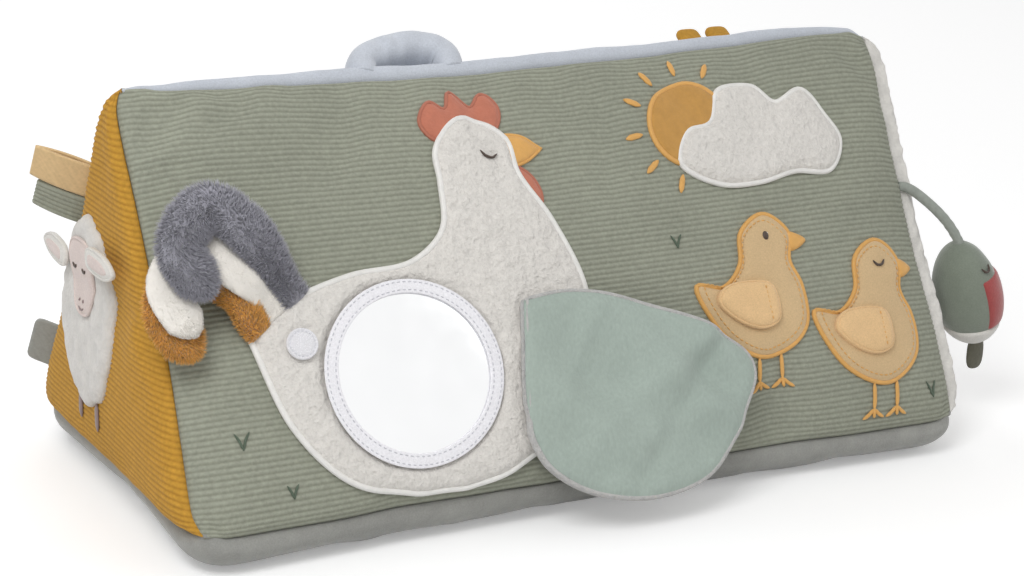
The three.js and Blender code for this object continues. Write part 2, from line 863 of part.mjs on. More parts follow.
const chickDrawing = [
  [-27, 8],
  [-17, -17],
  [3, -27],
  [22, -16],
  [25, 2],
  [22, 14],
  [25, 26],
  [14, 36],
  [1, 29],
  [-3, 15],
  [-14, 6],
];
const chickOutline = smooth(sized(chickDrawing, CHICK_WIDE, CHICK_TALL), 40);
const wingOutline = smooth(
  [
    [0, CHICK_WING_WIDE * 0.36],
    [-CHICK_WING_LONG * 0.4, CHICK_WING_WIDE * 0.5],
    [-CHICK_WING_LONG * 0.85, CHICK_WING_WIDE * 0.42],
    [-CHICK_WING_LONG, CHICK_WING_WIDE * 0.15],
    [-CHICK_WING_LONG * 0.7, -CHICK_WING_WIDE * 0.3],
    [-CHICK_WING_LONG * 0.3, -CHICK_WING_WIDE * 0.5],
    [0, -CHICK_WING_WIDE * 0.36],
  ],
  24
);

// Group set on a panel with its Z out of the panel and its Y up the panel
function groupOn(panel, name, a, b, lift) {
  const group = new THREE.Group();
  const out = normalAt((p, q) => panel.place(p, q, 0), a, b);
  const right = panel.place(a + 1, b, 0).sub(panel.place(a, b, 0));
  right.addScaledVector(out, -right.dot(out)).normalize();
  const up = new THREE.Vector3().crossVectors(out, right);
  group.applyMatrix4(new THREE.Matrix4().makeBasis(right, up, out));
  group.position.copy(panel.place(a, b, lift));
  group.name = name;
  toy.add(group);
  return group;
}

function chick(letter, right, rise) {
  const a = LENGTH - right;
  const body = patch(FRONT, moved(chickOutline, a, rise), onPanel, onPanel + FELT);
  piece(`chick_${letter}_body`, geometryOf(body), 0xd4b885, 0.9);
  const lift = onPanel + FELT + CLEAR + CHICK_WING_THICK / 2 + 0.3;
  const wingRight = a + CHICK_WIDE * 0.154;
  const wingRise = rise - CHICK_TALL * 0.0635;
  const hinge = groupOn(FRONT, `chick_${letter}_hinge`, wingRight, wingRise, lift);
  const centre = point2(-CHICK_WING_LONG / 2, 0);
  const wing = cushion(wingOutline, CHICK_WING_THICK, centre);
  piece(`chick_${letter}_wing`, wing, 0xdfbb86, 0.9, hinge);
}

chick("a", CHICK_A_RIGHT, CHICK_A_RISE);
chick("b", CHICK_B_RIGHT, CHICK_B_RISE);

// Sun tucked under a fleece cloud

const sunCentre = point2(LENGTH - SUN_RIGHT, SIDE - SUN_DROP);
const sunOutline = disc(sunCentre.x, sunCentre.y, SUN_RADIUS, 32);
const sun = patch(FRONT, sunOutline, onPanel, onPanel + FELT);
piece("sun_disc", geometryOf(sun), 0xc6954a, 0.9);
const cloudDrawing = [
  [-42, -8],
  [-36, 5],
  [-24, 8],
  [-16, 22],
  [2, 24],
  [12, 14],
  [26, 18],
  [35, 6],
  [41, -6],
  [33, -19],
  [14, -18],
  [-6, -21],
  [-26, -19],
];
const cloudOutline = moved(
  smooth(sized(cloudDrawing, CLOUD_WIDE, CLOUD_TALL), 52),
  LENGTH - CLOUD_RIGHT,
  SIDE - CLOUD_DROP
);
const sunRoomOutline = disc(sunCentre.x, sunCentre.y, SUN_RADIUS + CLEAR, 32);
const sunRoom = patch(FRONT, sunRoomOutline, onPanel - 1, onPanel + FELT + CLEAR);
const cloud = patch(FRONT, cloudOutline, onPanel, onPanel + FLEECE).subtract(sunRoom);
piece("cloud_patch", geometryOf(cloud), WHITE, 0.95);

// Sheep on the left end

const sheepOutline = [];
for (let i = 0; i < 50; i += 1) {
  const angle = (2 * Math.PI * i) / 50;
  const curl = 1 + 0.06 * Math.abs(Math.sin(angle * 5));
  const x = SHEEP_FORWARD + SHEEP_WIDE * 0.5 * curl * Math.cos(angle);
  sheepOutline.push(point2(x, SHEEP_RISE + SHEEP_TALL * 0.5 * curl * Math.sin(angle)));
}
const faceRise = SHEEP_RISE + FACE_UP;
const faceDrawing = [
  [-11, 12],
  [0, 15],
  [11, 12],
  [12, 0],
  [7, -14],
  [0, -17],
  [-7, -14],
  [-12, 0],
];
const faceOutline = smooth(sized(faceDrawing, FACE_WIDE, FACE_TALL), 28);
const sheepFace = moved(faceOutline, SHEEP_FORWARD, faceRise);
const faceRoom = columnOf(LEFT, grown(sheepFace, CLEAR));
const sheep = patch(LEFT, sheepOutline, onPanel, henTop).subtract(faceRoom);
piece("sheep_patch", geometryOf(sheep), WHITE, 0.95);
const face = patch(LEFT, sheepFace, onPanel, onPanel + FLEECE - 1);
piece("sheep_face", geometryOf(face), 0xd9bcb0, 0.9);

const earOutline = smooth(
  [
    [0, EAR_WIDE * 0.22],
    [EAR_LONG * 0.45, EAR_WIDE * 0.5],
    [EAR_LONG * 0.9, EAR_WIDE * 0.3],
    [EAR_LONG, 0],
    [EAR_LONG * 0.85, -EAR_WIDE * 0.34],
    [EAR_LONG * 0.4, -EAR_WIDE * 0.5],
    [0, -EAR_WIDE * 0.22],
  ],
  24
);

function ear(name, side, up) {
  const lift = henTop + 2 * CLEAR + EAR_THICK / 2;
  const hinge = groupOn(LEFT, `${name}_hinge`, SHEEP_FORWARD + side * EAR_SPREAD, faceRise + up, lift);
  const outline = earOutline.map((p) => point2(side * p.x, p.y));
  const flap = cushion(outline, EAR_THICK, point2((side * EAR_LONG) / 2, 0));
  piece(name, flap, side > 0 ? WHITE : 0xc9918a, 0.9, hinge);
}

ear("sheep_ear_front", 1, FRONT_EAR_UP);
ear("sheep_ear_rear", -1, REAR_EAR_UP);

// Ribbon tabs and label sewn into the left rear seam

function seamTab(name, rise, wide, long, thick, colour) {
  const t = rise / SIDE;
  const seam = longFace(1, 0, t, 0);
  const along = longFace(1, 0, t + 0.02, 0).sub(longFace(1, 0, t - 0.02, 0)).normalize();
  const away = new THREE.Vector3(-1, 0.9, 0.3);
  away.addScaledVector(along, -away.dot(along)).normalize();
  const hinge = new THREE.Group();
  hinge.name = `${name}_hinge`;
  const across = new THREE.Vector3().crossVectors(away, along);
  const basis = new THREE.Matrix4().makeBasis(away, along, across);
  hinge.applyMatrix4(basis);
  hinge.position.copy(seam);
  hinge.updateMatrixWorld(true);
  toy.add(hinge);
  const round = wide * 0.2;
  const root = 2 * CLEAR;
  const shape = new THREE.Shape();
  shape.moveTo(root, -wide / 2);
  shape.lineTo(long - round, -wide / 2);
  shape.absarc(long - round, round - wide / 2, round, -Math.PI / 2, 0);
  shape.absarc(long - round, wide / 2 - round, round, 0, Math.PI / 2);
  shape.lineTo(root, wide / 2);
  const outline = shape.getPoints(3);
  const strap = cushion(outline, thick, point2(long / 2, 0));
  strap.applyMatrix4(hinge.matrixWorld);
  const trimmedStrap = geometryOf(solidOf(strap).subtract(keepOut));
  trimmedStrap.applyMatrix4(hinge.matrixWorld.clone().invert());
  piece(name, trimmedStrap, colour, 0.8, hinge);
}

seamTab("ribbon_tab_ochre", OCHRE_TAB_RISE, OCHRE_TAB_WIDE, OCHRE_TAB_LONG, TAB_THICK, 0xd0ab6c);
const sageRise = OCHRE_TAB_RISE - OCHRE_TAB_WIDE / 2 - TAB_SPACE - SAGE_TAB_WIDE / 2;
seamTab("ribbon_tab_sage", sageRise, SAGE_TAB_WIDE, SAGE_TAB_LONG, TAB_THICK, SAGE);
seamTab("side_label", LABEL_RISE, LABEL_WIDE, LABEL_LONG, LABEL_THICK, 0x9a9b96);

// Stuffed bird on a cord at the right end

const birdCentre = new THREE.Vector3(
  LENGTH / 2 + END_CROWN + BIRD_DEEP / 2 + BIRD_STANDOFF,
  -BIRD_FORWARD,
  BIRD_RISE
);
const cordSeam = longFace(-1, 1, CORD_RISE / SIDE, 0);
const birdPose = new THREE.Matrix4().makeRotationY(-THREE.MathUtils.degToRad(BIRD_LEAN));
birdPose.setPosition(birdCentre);
const birdTop = new THREE.Vector3(0, 0, BIRD_TALL / 2).applyMatrix4(birdPose);
const birdInside = new THREE.Vector3(0, 0, BIRD_TALL / 2 - 4).applyMatrix4(birdPose);
const cordPath = new THREE.CatmullRomCurve3([
  cordSeam.clone().add(new THREE.Vector3(-2, 2, 1)),
  cordSeam.clone().add(new THREE.Vector3(5, -3, -1)),
  cordSeam.clone().lerp(birdTop, 0.6).add(new THREE.Vector3(1.5, -1, 1.5)),
  birdTop,
  birdInside,
]);
const birdProfile = [];
for (let i = 0; i <= 14; i += 1) {
  const angle = (Math.PI * i) / 14;
  const taper = 1 + 0.08 * Math.cos(angle);
  const radius = i === 0 || i === 14 ? 0 : Math.sin(angle) * taper;
  birdProfile.push(point2(radius, -Math.cos(angle)));
}

// Egg-shaped body of the bird, moved out by a distance and swayed about the end of its cord
function birdForm(distance, sway = 0) {
  const form = new THREE.LatheGeometry(birdProfile, 20);
  form.rotateX(Math.PI / 2);
  form.scale(BIRD_DEEP / 2 + distance, BIRD_WIDE / 2 + distance, BIRD_TALL / 2 + distance);
  form.applyMatrix4(birdPose);
  form.translate(-birdTop.x, -birdTop.y, -birdTop.z);
  form.rotateX(THREE.MathUtils.degToRad(sway));
  form.translate(birdTop.x, birdTop.y, birdTop.z);
  return solidOf(faced(form));
}

function block(fromX, toX, fromZ, toZ) {
  const box = new THREE.BoxGeometry(toX - fromX, 2 * BIRD_WIDE, toZ - fromZ);
  box.translate((fromX + toX) / 2, 0, (fromZ + toZ) / 2);
  box.applyMatrix4(birdPose);
  return solidOf(box);
}

function faced(geometry) {
  const flat = geometry.index ? geometry.toNonIndexed() : geometry;
  const list = [];
  const out = [];
  const array = flat.getAttribute("position").array;
  for (let i = 0; i < array.length; i += 3) {
    list.push(new THREE.Vector3(array[i], array[i + 1], array[i + 2]));
  }
  for (let i = 0; i < list.length; i += 3) {
    triangle(out, list[i], list[i + 1], list[i + 2]);
  }
  return closed(out);
}

const birdSolid = birdForm(0);
const cordSection = new THREE.Shape().setFromPoints(disc(0, 0, CORD_DIAMETER / 2, 10));
const cordRun = new THREE.ExtrudeGeometry(cordSection, { steps: 10, extrudePath: cordPath });
let cord = solidOf(cordRun).subtract(keepOut);
[-BIRD_SWAY, 0, BIRD_SWAY].forEach((sway) => {
  cord = cord.subtract(birdForm(CLEAR, sway));
});
piece("bird_cord", geometryOf(cord), 0x8c9289, 0.9);

const far = 2 * BIRD_TALL;
const breast = birdSolid.intersect(block(BREAST_OUT, far, BELLY_TOP, BREAST_TOP));
const belly = birdSolid.intersect(block(-far, far, -far, BELLY_TOP - CLEAR));
const breastRoom = block(BREAST_OUT - CLEAR, far, BELLY_TOP - far, BREAST_TOP + CLEAR);
const back = birdSolid.intersect(block(-far, far, BELLY_TOP, far)).subtract(breastRoom);
piece("bird_back", geometryOf(back), 0x77817a, 0.95);
piece("bird_breast", geometryOf(breast), 0xa8504e, 0.95);
piece("bird_belly", geometryOf(belly), 0xd2cfca, 0.95);

const tailOutline = smooth(
  [
    [-TAIL_WIDE * 0.25, 4],
    [-TAIL_WIDE * 0.5, -TAIL_LONG * 0.55],
    [-TAIL_WIDE * 0.3, -TAIL_LONG * 0.95],
    [TAIL_WIDE * 0.3, -TAIL_LONG * 0.95],
    [TAIL_WIDE * 0.5, -TAIL_LONG * 0.55],
    [TAIL_WIDE * 0.25, 4],
  ],
  20
);
const tailBlank = cushion(tailOutline, 3, point2(0, -TAIL_LONG / 2));
tailBlank.rotateX(Math.PI / 2);
tailBlank.translate(0, 0, -BIRD_TALL / 2);
tailBlank.applyMatrix4(birdPose);
const tail = solidOf(tailBlank).subtract(birdForm(CLEAR));
piece("bird_tail", geometryOf(tail), 0x5b5a4e, 0.9);

// Padded loop and tabs on the rear panel, just below the top seam

const loopBase = SIDE - LOOP_DROP;
const loopOut = normalAt((a, b) => onRear(-a, b, 0), -LOOP_CENTRE, loopBase);
const loopFoot = (side) => onRear(LOOP_CENTRE + (side * LOOP_SPAN) / 2, loopBase, 0);
const loopCurve = new THREE.CatmullRomCurve3([
  loopFoot(-1).addScaledVector(loopOut, -5),
  loopFoot(-1).addScaledVector(loopOut, LOOP_RISE * 0.45),
  onRear(LOOP_CENTRE - LOOP_SPAN * 0.22, loopBase, 0).addScaledVector(loopOut, LOOP_RISE * 0.9),
  onRear(LOOP_CENTRE + LOOP_SPAN * 0.22, loopBase, 0).addScaledVector(loopOut, LOOP_RISE * 0.9),
  loopFoot(1).addScaledVector(loopOut, LOOP_RISE * 0.45),
  loopFoot(1).addScaledVector(loopOut, -5),
]);
const loopAcross = new THREE.Vector3().crossVectors(loopOut, new THREE.Vector3(1, 0, 0)).normalize();
const loopBody = padded(
  loopCurve,
  loopAcross,
  () => LOOP_THICK / 2,
  () => LOOP_WIDE / 2,
  18,
  10
);
piece("rear_loop", geometryOf(solidOf(loopBody).subtract(keepOut)), BLUE, 0.9);

const rearTabOutline = smooth(
  [
    [-REAR_TAB_WIDE * 0.5, 2 * CLEAR],
    [-REAR_TAB_WIDE * 0.52, REAR_TAB_TALL * 0.5],
    [-REAR_TAB_WIDE * 0.3, REAR_TAB_TALL * 0.93],
    [REAR_TAB_WIDE * 0.3, REAR_TAB_TALL * 0.93],
    [REAR_TAB_WIDE * 0.52, REAR_TAB_TALL * 0.5],
    [REAR_TAB_WIDE * 0.5, 2 * CLEAR],
  ],
  20
);

function rearTab(name, x) {
  const foot = onRear(x, SIDE - REAR_TAB_DROP, 0);
  const hinge = new THREE.Group();
  hinge.name = `${name}_hinge`;
  const right = new THREE.Vector3(-1, 0, 0);
  const out = normalAt((a, b) => onRear(-a, b, 0), -x, SIDE - REAR_TAB_DROP);
  out.x = 0;
  out.normalize();
  const thin = new THREE.Vector3().crossVectors(right, out);
  hinge.applyMatrix4(new THREE.Matrix4().makeBasis(right, out, thin));
  hinge.position.copy(foot);
  hinge.updateMatrixWorld(true);
  toy.add(hinge);
  const blank = cushion(rearTabOutline, REAR_TAB_THICK, point2(0, REAR_TAB_TALL * 0.45));
  blank.applyMatrix4(hinge.matrixWorld);
  const sewn = geometryOf(solidOf(blank).subtract(keepOut));
  sewn.applyMatrix4(hinge.matrixWorld.clone().invert());
  piece(name, sewn, OCHRE, 0.9, hinge);
}

rearTab("rear_tab_left", REAR_TAB_CENTRE - REAR_TAB_PITCH / 2);
rearTab("rear_tab_right", REAR_TAB_CENTRE + REAR_TAB_PITCH / 2);

export default toy;
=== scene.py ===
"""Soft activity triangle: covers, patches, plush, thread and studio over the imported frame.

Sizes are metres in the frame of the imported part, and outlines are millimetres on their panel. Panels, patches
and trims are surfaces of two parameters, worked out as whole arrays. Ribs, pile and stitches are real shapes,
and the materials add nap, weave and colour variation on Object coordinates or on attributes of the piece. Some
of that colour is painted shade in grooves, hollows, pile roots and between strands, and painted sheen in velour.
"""

import math

import bmesh
import bpy
import numpy as np
from bpy.props import FloatProperty, FloatVectorProperty, IntProperty, PointerProperty
from mathutils import Matrix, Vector
from mathutils.geometry import delaunay_2d_cdt


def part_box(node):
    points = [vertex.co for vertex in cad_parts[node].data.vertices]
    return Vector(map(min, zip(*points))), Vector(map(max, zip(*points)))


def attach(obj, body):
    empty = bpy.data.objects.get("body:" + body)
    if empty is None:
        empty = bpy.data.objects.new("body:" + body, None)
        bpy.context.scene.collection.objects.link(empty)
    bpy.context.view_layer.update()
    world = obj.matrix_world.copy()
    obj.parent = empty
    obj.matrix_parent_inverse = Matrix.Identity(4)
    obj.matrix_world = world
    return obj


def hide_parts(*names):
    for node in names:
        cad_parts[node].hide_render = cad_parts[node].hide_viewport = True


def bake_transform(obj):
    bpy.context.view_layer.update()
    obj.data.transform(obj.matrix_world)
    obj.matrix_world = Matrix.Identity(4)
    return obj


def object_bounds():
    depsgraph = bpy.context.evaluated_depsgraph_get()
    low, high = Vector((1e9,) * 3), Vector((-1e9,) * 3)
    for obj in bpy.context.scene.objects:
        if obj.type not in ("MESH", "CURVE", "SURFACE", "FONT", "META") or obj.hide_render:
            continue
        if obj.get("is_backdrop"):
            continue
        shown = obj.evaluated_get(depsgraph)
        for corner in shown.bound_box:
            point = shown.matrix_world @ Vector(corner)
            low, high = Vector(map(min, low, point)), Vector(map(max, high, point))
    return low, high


bl_info = {
    "name": "Soft activity triangle",
    "version": (1, 0, 0),
    "blender": (4, 5, 0),
    "location": "View3D > Sidebar > Triangle",
    "description": "Builds the fabrics, trims and studio of a stuffed activity triangle",
    "category": "Object",
}

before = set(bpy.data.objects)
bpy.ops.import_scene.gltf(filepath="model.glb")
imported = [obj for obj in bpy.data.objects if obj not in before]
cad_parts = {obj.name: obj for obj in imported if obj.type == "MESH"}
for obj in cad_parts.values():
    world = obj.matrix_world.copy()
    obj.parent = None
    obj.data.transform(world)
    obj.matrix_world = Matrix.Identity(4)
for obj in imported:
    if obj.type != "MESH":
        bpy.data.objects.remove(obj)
CAD_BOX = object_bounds()
MM = 0.001
FULL = 2 * math.pi
ROOT3 = math.sqrt(3)
SLOPE = np.array([0, 0.5, ROOT3 / 2])
SLOPE_OUT = np.array([0, -ROOT3 / 2, 0.5])


def linear(code):
    """Linear light of a six-digit colour code: the usual display curve undone for each channel."""
    parts = [int(code[i : i + 2], 16) / 255 for i in (0, 2, 4)]
    return tuple(c / 12.92 if c < 0.04045 else ((c + 0.055) / 1.055) ** 2.4 for c in parts)


def measure(description, default):
    """A length in metres for the panel."""
    kind = {"precision": 5, "subtype": "DISTANCE", "unit": "LENGTH"}
    return FloatProperty(description=description, default=default, min=0.0, **kind)


def tint(description, code):
    """A colour for the panel."""
    kind = {"size": 3, "min": 0.0, "max": 1.0, "subtype": "COLOR"}
    return FloatVectorProperty(description=description, default=linear(code), **kind)


class CoverSizes(bpy.types.PropertyGroup):
    """Sizes of the stuffed cover and its five panels."""

    length: measure("Left to right seam length of the filled cover", 0.361)
    side: measure("Side of the triangular section at the seams", 0.184)
    seam_lift: measure("Height of the lower seams over the ground", 0.016)
    long_crown: measure("Swell of the front and rear panels", 0.009)
    base_edge: measure("Width of the rolled edge of the base", 0.018)
    base_roll: measure("How far the base edge bulges past its seam", 0.0025)
    top_roll: measure("Bulge of the rear panel at the top seam", 0.007)
    left_crown: measure("Swell of the left end", 0.005)
    right_crown: measure("Swell of the right end", 0.008)
    top_sag: measure("Sag of the top seam", 0.007)
    corner_pull: measure("How far the corners draw in", 0.0038)
    edge_pull: measure("How far the lower seams draw in", 0.003)
    end_pull: measure("How far the end seams draw in", 0.003)
    fabric: measure("Thickness of the cover fabric", 0.0016)
    pucker: FloatProperty(description="Share of the cloth run's folds", default=0.75, min=0.0, max=1.0)
    rib_pitch: measure("Distance between corduroy ribs", 0.00231)
    rib_depth: measure("Height of a corduroy rib", 0.00058)


class TrimSizes(bpy.types.PropertyGroup):
    """Sizes of the trims."""

    mirror_radius: measure("Radius of the mirror disc", 0.036)
    ring_inner: measure("Inner radius of the retaining ring", 0.033)
    ring_outer: measure("Outer radius of the retaining ring", 0.039)
    dot_radius: measure("Radius of the closure dot", 0.0065)
    plume_width: measure("Full width of a padded feather", 0.018)
    plume_thick: measure("Thickness of a padded feather", 0.005)
    pile: measure("Length of the longest plush pile", 0.0052)
    cord: measure("Diameter of the bird's cord", 0.0046)
    strands: IntProperty(description="Pile strands on one feather", default=13000, min=100)


class FabricColours(bpy.types.PropertyGroup):
    """Colours of the fabrics and threads."""

    sage: tint("Front corduroy", "9da091")
    # Painted shade: the groove colour darkens the grooves of the front corduroy.
    sage_groove_shade: tint("Grooves of the front corduroy", "8a8c7d")
    ochre: tint("Left end corduroy", "c6963c")
    # Painted shade: the groove colour darkens the grooves of the left end corduroy.
    ochre_groove_shade: tint("Grooves of the left end corduroy", "b08133")
    fleece: tint("White heathered fleece", "e0dcd6")
    fleck: tint("Flecks of the heathered fleece", "cac5be")
    teddy: tint("Right end teddy fleece", "dfdcd6")
    wool: tint("Sheep's wool", "d6d3ce")
    blue: tint("Rear velour and loop", "c4c9d2")
    grey: tint("Base velour", "9a9a95")
    mint: tint("Flap lining", "a2afa6")
    heather: tint("Outer side of the flap", "b9b8b6")
    coral: tint("Comb and wattle felt", "bd735b")
    amber: tint("Beak felt and gold thread", "dca75c")
    gold: tint("Sun felt", "bf8f48")
    straw: tint("Chick velour", "d0b388")
    peach: tint("Chick wing cloth", "e5c08e")
    pink: tint("Sheep's face and ear linings", "dccdc7")
    plush_grey: tint("Upper feather", "a9a8b2")
    plush_cream: tint("Middle feather", "f3eee6")
    plush_ochre: tint("Lower feather", "ecae52")
    bird_back: tint("Back of the little bird", "7d8578")
    bird_breast: tint("Breast of the little bird", "a24846")
    bird_belly: tint("Belly of the little bird", "dad7d1")
    bird_tail: tint("Tail of the little bird", "605e50")
    ribbon: tint("Ochre ribbons", "dcbd8c")
    label: tint("Bare woven label", "9a9b95")
    cord: tint("Bird's cord", "989d95")
    thread_white: tint("Satin edging and stitches", "e9e7e3")
    thread_dark: tint("Eyes", "4a3c33")
    thread_green: tint("Grass stitches", "4f5d4c")
    thread_mauve: tint("Sheep's nose, mouth and legs", "8d7b78")
    tape: tint("Ring cloth and closure dot", "f1f0f4")


def cover():
    """The cover's sizes of this scene."""
    return bpy.context.scene.triangle_cover


def trim():
    """The trims' sizes of this scene."""
    return bpy.context.scene.triangle_trim


def colours():
    """The fabric colours of this scene."""
    return bpy.context.scene.triangle_colours


# Number fields


def unit(v):
    """Vectors divided by their length."""
    return v / np.maximum(np.linalg.norm(v, axis=-1, keepdims=True), 1e-12)


def smooth(t):
    """S-curve from 0 to 1: three t squared less two t cubed."""
    t = np.clip(t, 0.0, 1.0)
    return t * t * (3 - 2 * t)


def round_edge(depth, reach):
    """Quarter circle from 0 at an edge to 1 where the depth comes to the reach."""
    return np.sqrt(np.clip(1 - (1 - np.clip(depth / reach, 0, 1)) ** 2, 0, 1))


def signed_power(v, power):
    """Power of the size of a value that keeps its sign."""
    return np.sign(v) * np.abs(v) ** power


def turns(count):
    """Even angles once round."""
    return np.linspace(0, FULL, count, endpoint=False)


def crowded(count, share):
    """Steps from 0 to 1 that crowd towards both ends by a share of a cosine."""
    t = np.linspace(0, 1, count)
    return t * (1 - share) + share * (1 - np.cos(math.pi * t)) / 2


def walk(path):
    """Distance along a path at each of its points."""
    return np.concatenate([[0], np.cumsum(np.linalg.norm(np.diff(path, axis=0), axis=1))])


def level(flat):
    """Flat points as points in space at height 0."""
    return np.concatenate([flat, flat[:, :1] * 0], 1)


def lattice(i, j, k, seed):
    """Repeatable value from -1 to 1 for each point of a whole-number lattice."""
    h = (i * 73856093) ^ (j * 19349663) ^ (k * 83492791) ^ (seed * 2654435761 + 97)
    h = ((h ^ (h >> 13)) * 1274126177) & 0x7FFFFFFF
    h = h ^ (h >> 16)
    return (h & 0xFFFF) / 32767.5 - 1.0


def noise(points, scale, seed=0):
    """Value noise from -1 to 1: the values at the eight lattice corners round each point, mixed smoothly."""
    p = np.asarray(points, float) / np.asarray(scale, float)
    corner_at = np.floor(p)
    f = p - corner_at
    f = f * f * (3 - 2 * f)
    c = corner_at.astype(np.int64)
    total = 0.0
    for dx, dy, dz in ((x, y, z) for x in (0, 1) for y in (0, 1) for z in (0, 1)):
        weight = (f[..., 0] if dx else 1 - f[..., 0]) * (f[..., 1] if dy else 1 - f[..., 1])
        weight = weight * (f[..., 2] if dz else 1 - f[..., 2])
        total = total + weight * lattice(c[..., 0] + dx, c[..., 1] + dy, c[..., 2] + dz, seed)
    return total


def spline(points, count, closed=False):
    """Evenly spaced points on a centripetal spline: cubic pieces through the points, knots by root distance."""
    p = np.asarray(points, float)
    if closed:
        p = np.concatenate([p[-1:], p, p[:2]])
    else:
        p = np.concatenate([2 * p[:1] - p[1:2], p, 2 * p[-1:] - p[-2:-1]])
    knots = np.concatenate([[0], np.cumsum(np.sqrt(np.linalg.norm(np.diff(p, axis=0), axis=1)) + 1e-9)])
    steps = np.linspace(0, 1, 24, endpoint=False)
    first = np.arange(len(p) - 3)
    t0, t1, t2, t3 = (knots[first + i][:, None, None] for i in range(4))
    p0, p1, p2, p3 = (p[first + i][:, None, :] for i in range(4))
    t = t1 + (t2 - t1) * steps[None, :, None]
    a1 = (t1 - t) / (t1 - t0) * p0 + (t - t0) / (t1 - t0) * p1
    a2 = (t2 - t) / (t2 - t1) * p1 + (t - t1) / (t2 - t1) * p2
    a3 = (t3 - t) / (t3 - t2) * p2 + (t - t2) / (t3 - t2) * p3
    b1 = (t2 - t) / (t2 - t0) * a1 + (t - t0) / (t2 - t0) * a2
    b2 = (t3 - t) / (t3 - t1) * a2 + (t - t1) / (t3 - t1) * a3
    dense = ((t2 - t) / (t2 - t1) * b1 + (t - t1) / (t2 - t1) * b2).reshape(-1, p.shape[1])
    dense = np.concatenate([dense, p[-2:-1]])
    run = walk(dense)
    at = np.linspace(0, run[-1], count, endpoint=not closed)
    return np.stack([np.interp(at, run, dense[:, i]) for i in range(p.shape[1])], -1)


def twice_area(outline):
    """Twice the area inside an outline, above 0 where it runs anticlockwise."""
    ahead = np.roll(outline, -1, 0)
    return np.sum(outline[:, 0] * ahead[:, 1] - outline[:, 1] * ahead[:, 0])


def ring_of(points, step, corner=False):
    """Closed outline in metres through points in millimetres; the first point may be a sharp corner."""
    p = np.asarray(points, float) * MM
    around = np.concatenate([p, p[:1]])
    count = max(16, int(np.linalg.norm(np.diff(around, axis=0), axis=1).sum() / step))
    out = spline(around, count + 1)[:-1] if corner else spline(p, count, closed=True)
    return out if twice_area(out) > 0 else out[::-1]


def oval(about, wide, tall, step, scallops=0, depth=0.0):
    """Closed oval outline about a point in millimetres, with rounded scallops where asked."""
    t = turns(max(20, int(FULL * max(wide, tall) / step)))
    swell = 1 + depth * np.abs(np.sin(scallops * t / 2))
    return np.stack([about[0] * MM + wide * swell * np.cos(t), about[1] * MM + tall * swell * np.sin(t)], -1)


# Cover surfaces


def dip(t):
    """Bow from 0 at both ends to 1 in the middle."""
    return 4 * t * (1 - t)


def puff(t):
    """Pillow profile: root of one less the fourth power of the distance from the middle."""
    return np.sqrt(np.maximum(0, 1 - (2 * t - 1) ** 4))


def corner(t):
    """Rise close to both ends."""
    return (2 * t - 1) ** 16


def hump(d):
    """Swell that peaks 7 mm from an edge and fades over the panel."""
    d = np.maximum(d, 0) / 0.007
    return d * np.exp(1 - d)


def section():
    """Half length, half foot, seam height and apex height of the seam triangle."""
    z = cover()
    inradius = z.side / (2 * ROOT3)
    middle = z.seam_lift + inradius
    return z.length / 2, inradius * ROOT3, middle - inradius, middle + 2 * inradius


def long_face(side, u, v):
    """Front (side -1) or rear (side 1) panel: a leaning rectangle with bowed seams, swollen by a pillow profile."""
    z = cover()
    half, foot, low, top = section()
    u, v = np.broadcast_arrays(np.asarray(u, float), np.asarray(v, float))
    seam_y = foot - z.edge_pull * dip(u) - z.corner_pull * corner(u)
    seam_z = top - z.top_sag * dip(np.maximum(u, 0) ** 0.75) - z.corner_pull * corner(u)
    swell = z.long_crown * puff(u) * puff(v)
    roll = z.top_roll * puff(u) * hump((1 - v) * z.side) if side > 0 else 0.0
    x = (2 * u - 1) * (half - z.end_pull * dip(v) - z.corner_pull * corner(v))
    y = side * (seam_y * (1 - v) + swell * ROOT3 / 2)
    return np.stack([x, y, low + (seam_z - low) * v + swell / 2 + roll], -1)


def edge_turn(t, size):
    """Quarter turn of the base roll, from 0 at a seam to a right angle one edge width in."""
    return np.minimum(1, np.minimum(t, 1 - t) * size / cover().base_edge) * math.pi / 2


def edge_shift(t, size):
    """Sideways move that makes the base edge a round roll instead of a slope."""
    z = cover()
    turn = edge_turn(t, size)
    near = np.minimum(z.base_edge, np.minimum(t, 1 - t) * size)
    hang = near - z.base_edge * (1 - np.cos(turn)) + z.base_roll * np.sin(2 * turn)
    return np.sign(t - 0.5) * 2 * hang / size


def base_face(u, w):
    """Base panel: flat on the ground, rolling up to the four lower seams over a quarter turn."""
    z = cover()
    half, foot, low, _ = section()
    u, w = np.broadcast_arrays(np.asarray(u, float), np.asarray(w, float))
    fall_u, fall_w = np.sin(edge_turn(u, z.length)), np.sin(edge_turn(w, z.side))
    wide = half - z.end_pull * dip(w) - z.corner_pull * corner(w)
    deep = foot - z.edge_pull * dip(u) - z.corner_pull * corner(u)
    x = (2 * u - 1 + edge_shift(u, z.length) * fall_w) * wide
    y = (2 * w - 1 + edge_shift(w, z.side) * fall_u) * deep
    return np.stack([x, y, low - z.seam_lift * fall_u * fall_w], -1)


def end_face(side, s, t):
    """Left (side -1) or right (side 1) end: straight rows from the front seam to the rear one, swollen outwards."""
    z = cover()
    s, t = np.broadcast_arrays(np.asarray(s, float), np.asarray(t, float))
    u = (side + 1) / 2
    front, rear = long_face(-1, u, t), long_face(1, u, t)
    out = front + (rear - front) * s[..., None]
    bow = z.end_pull * dip(s) + z.corner_pull * (corner(s) - 1)
    crown = z.left_crown if side < 0 else z.right_crown
    out[..., 0] += side * (crown * puff(s) * puff(t) - (1 - t) * bow)
    return out


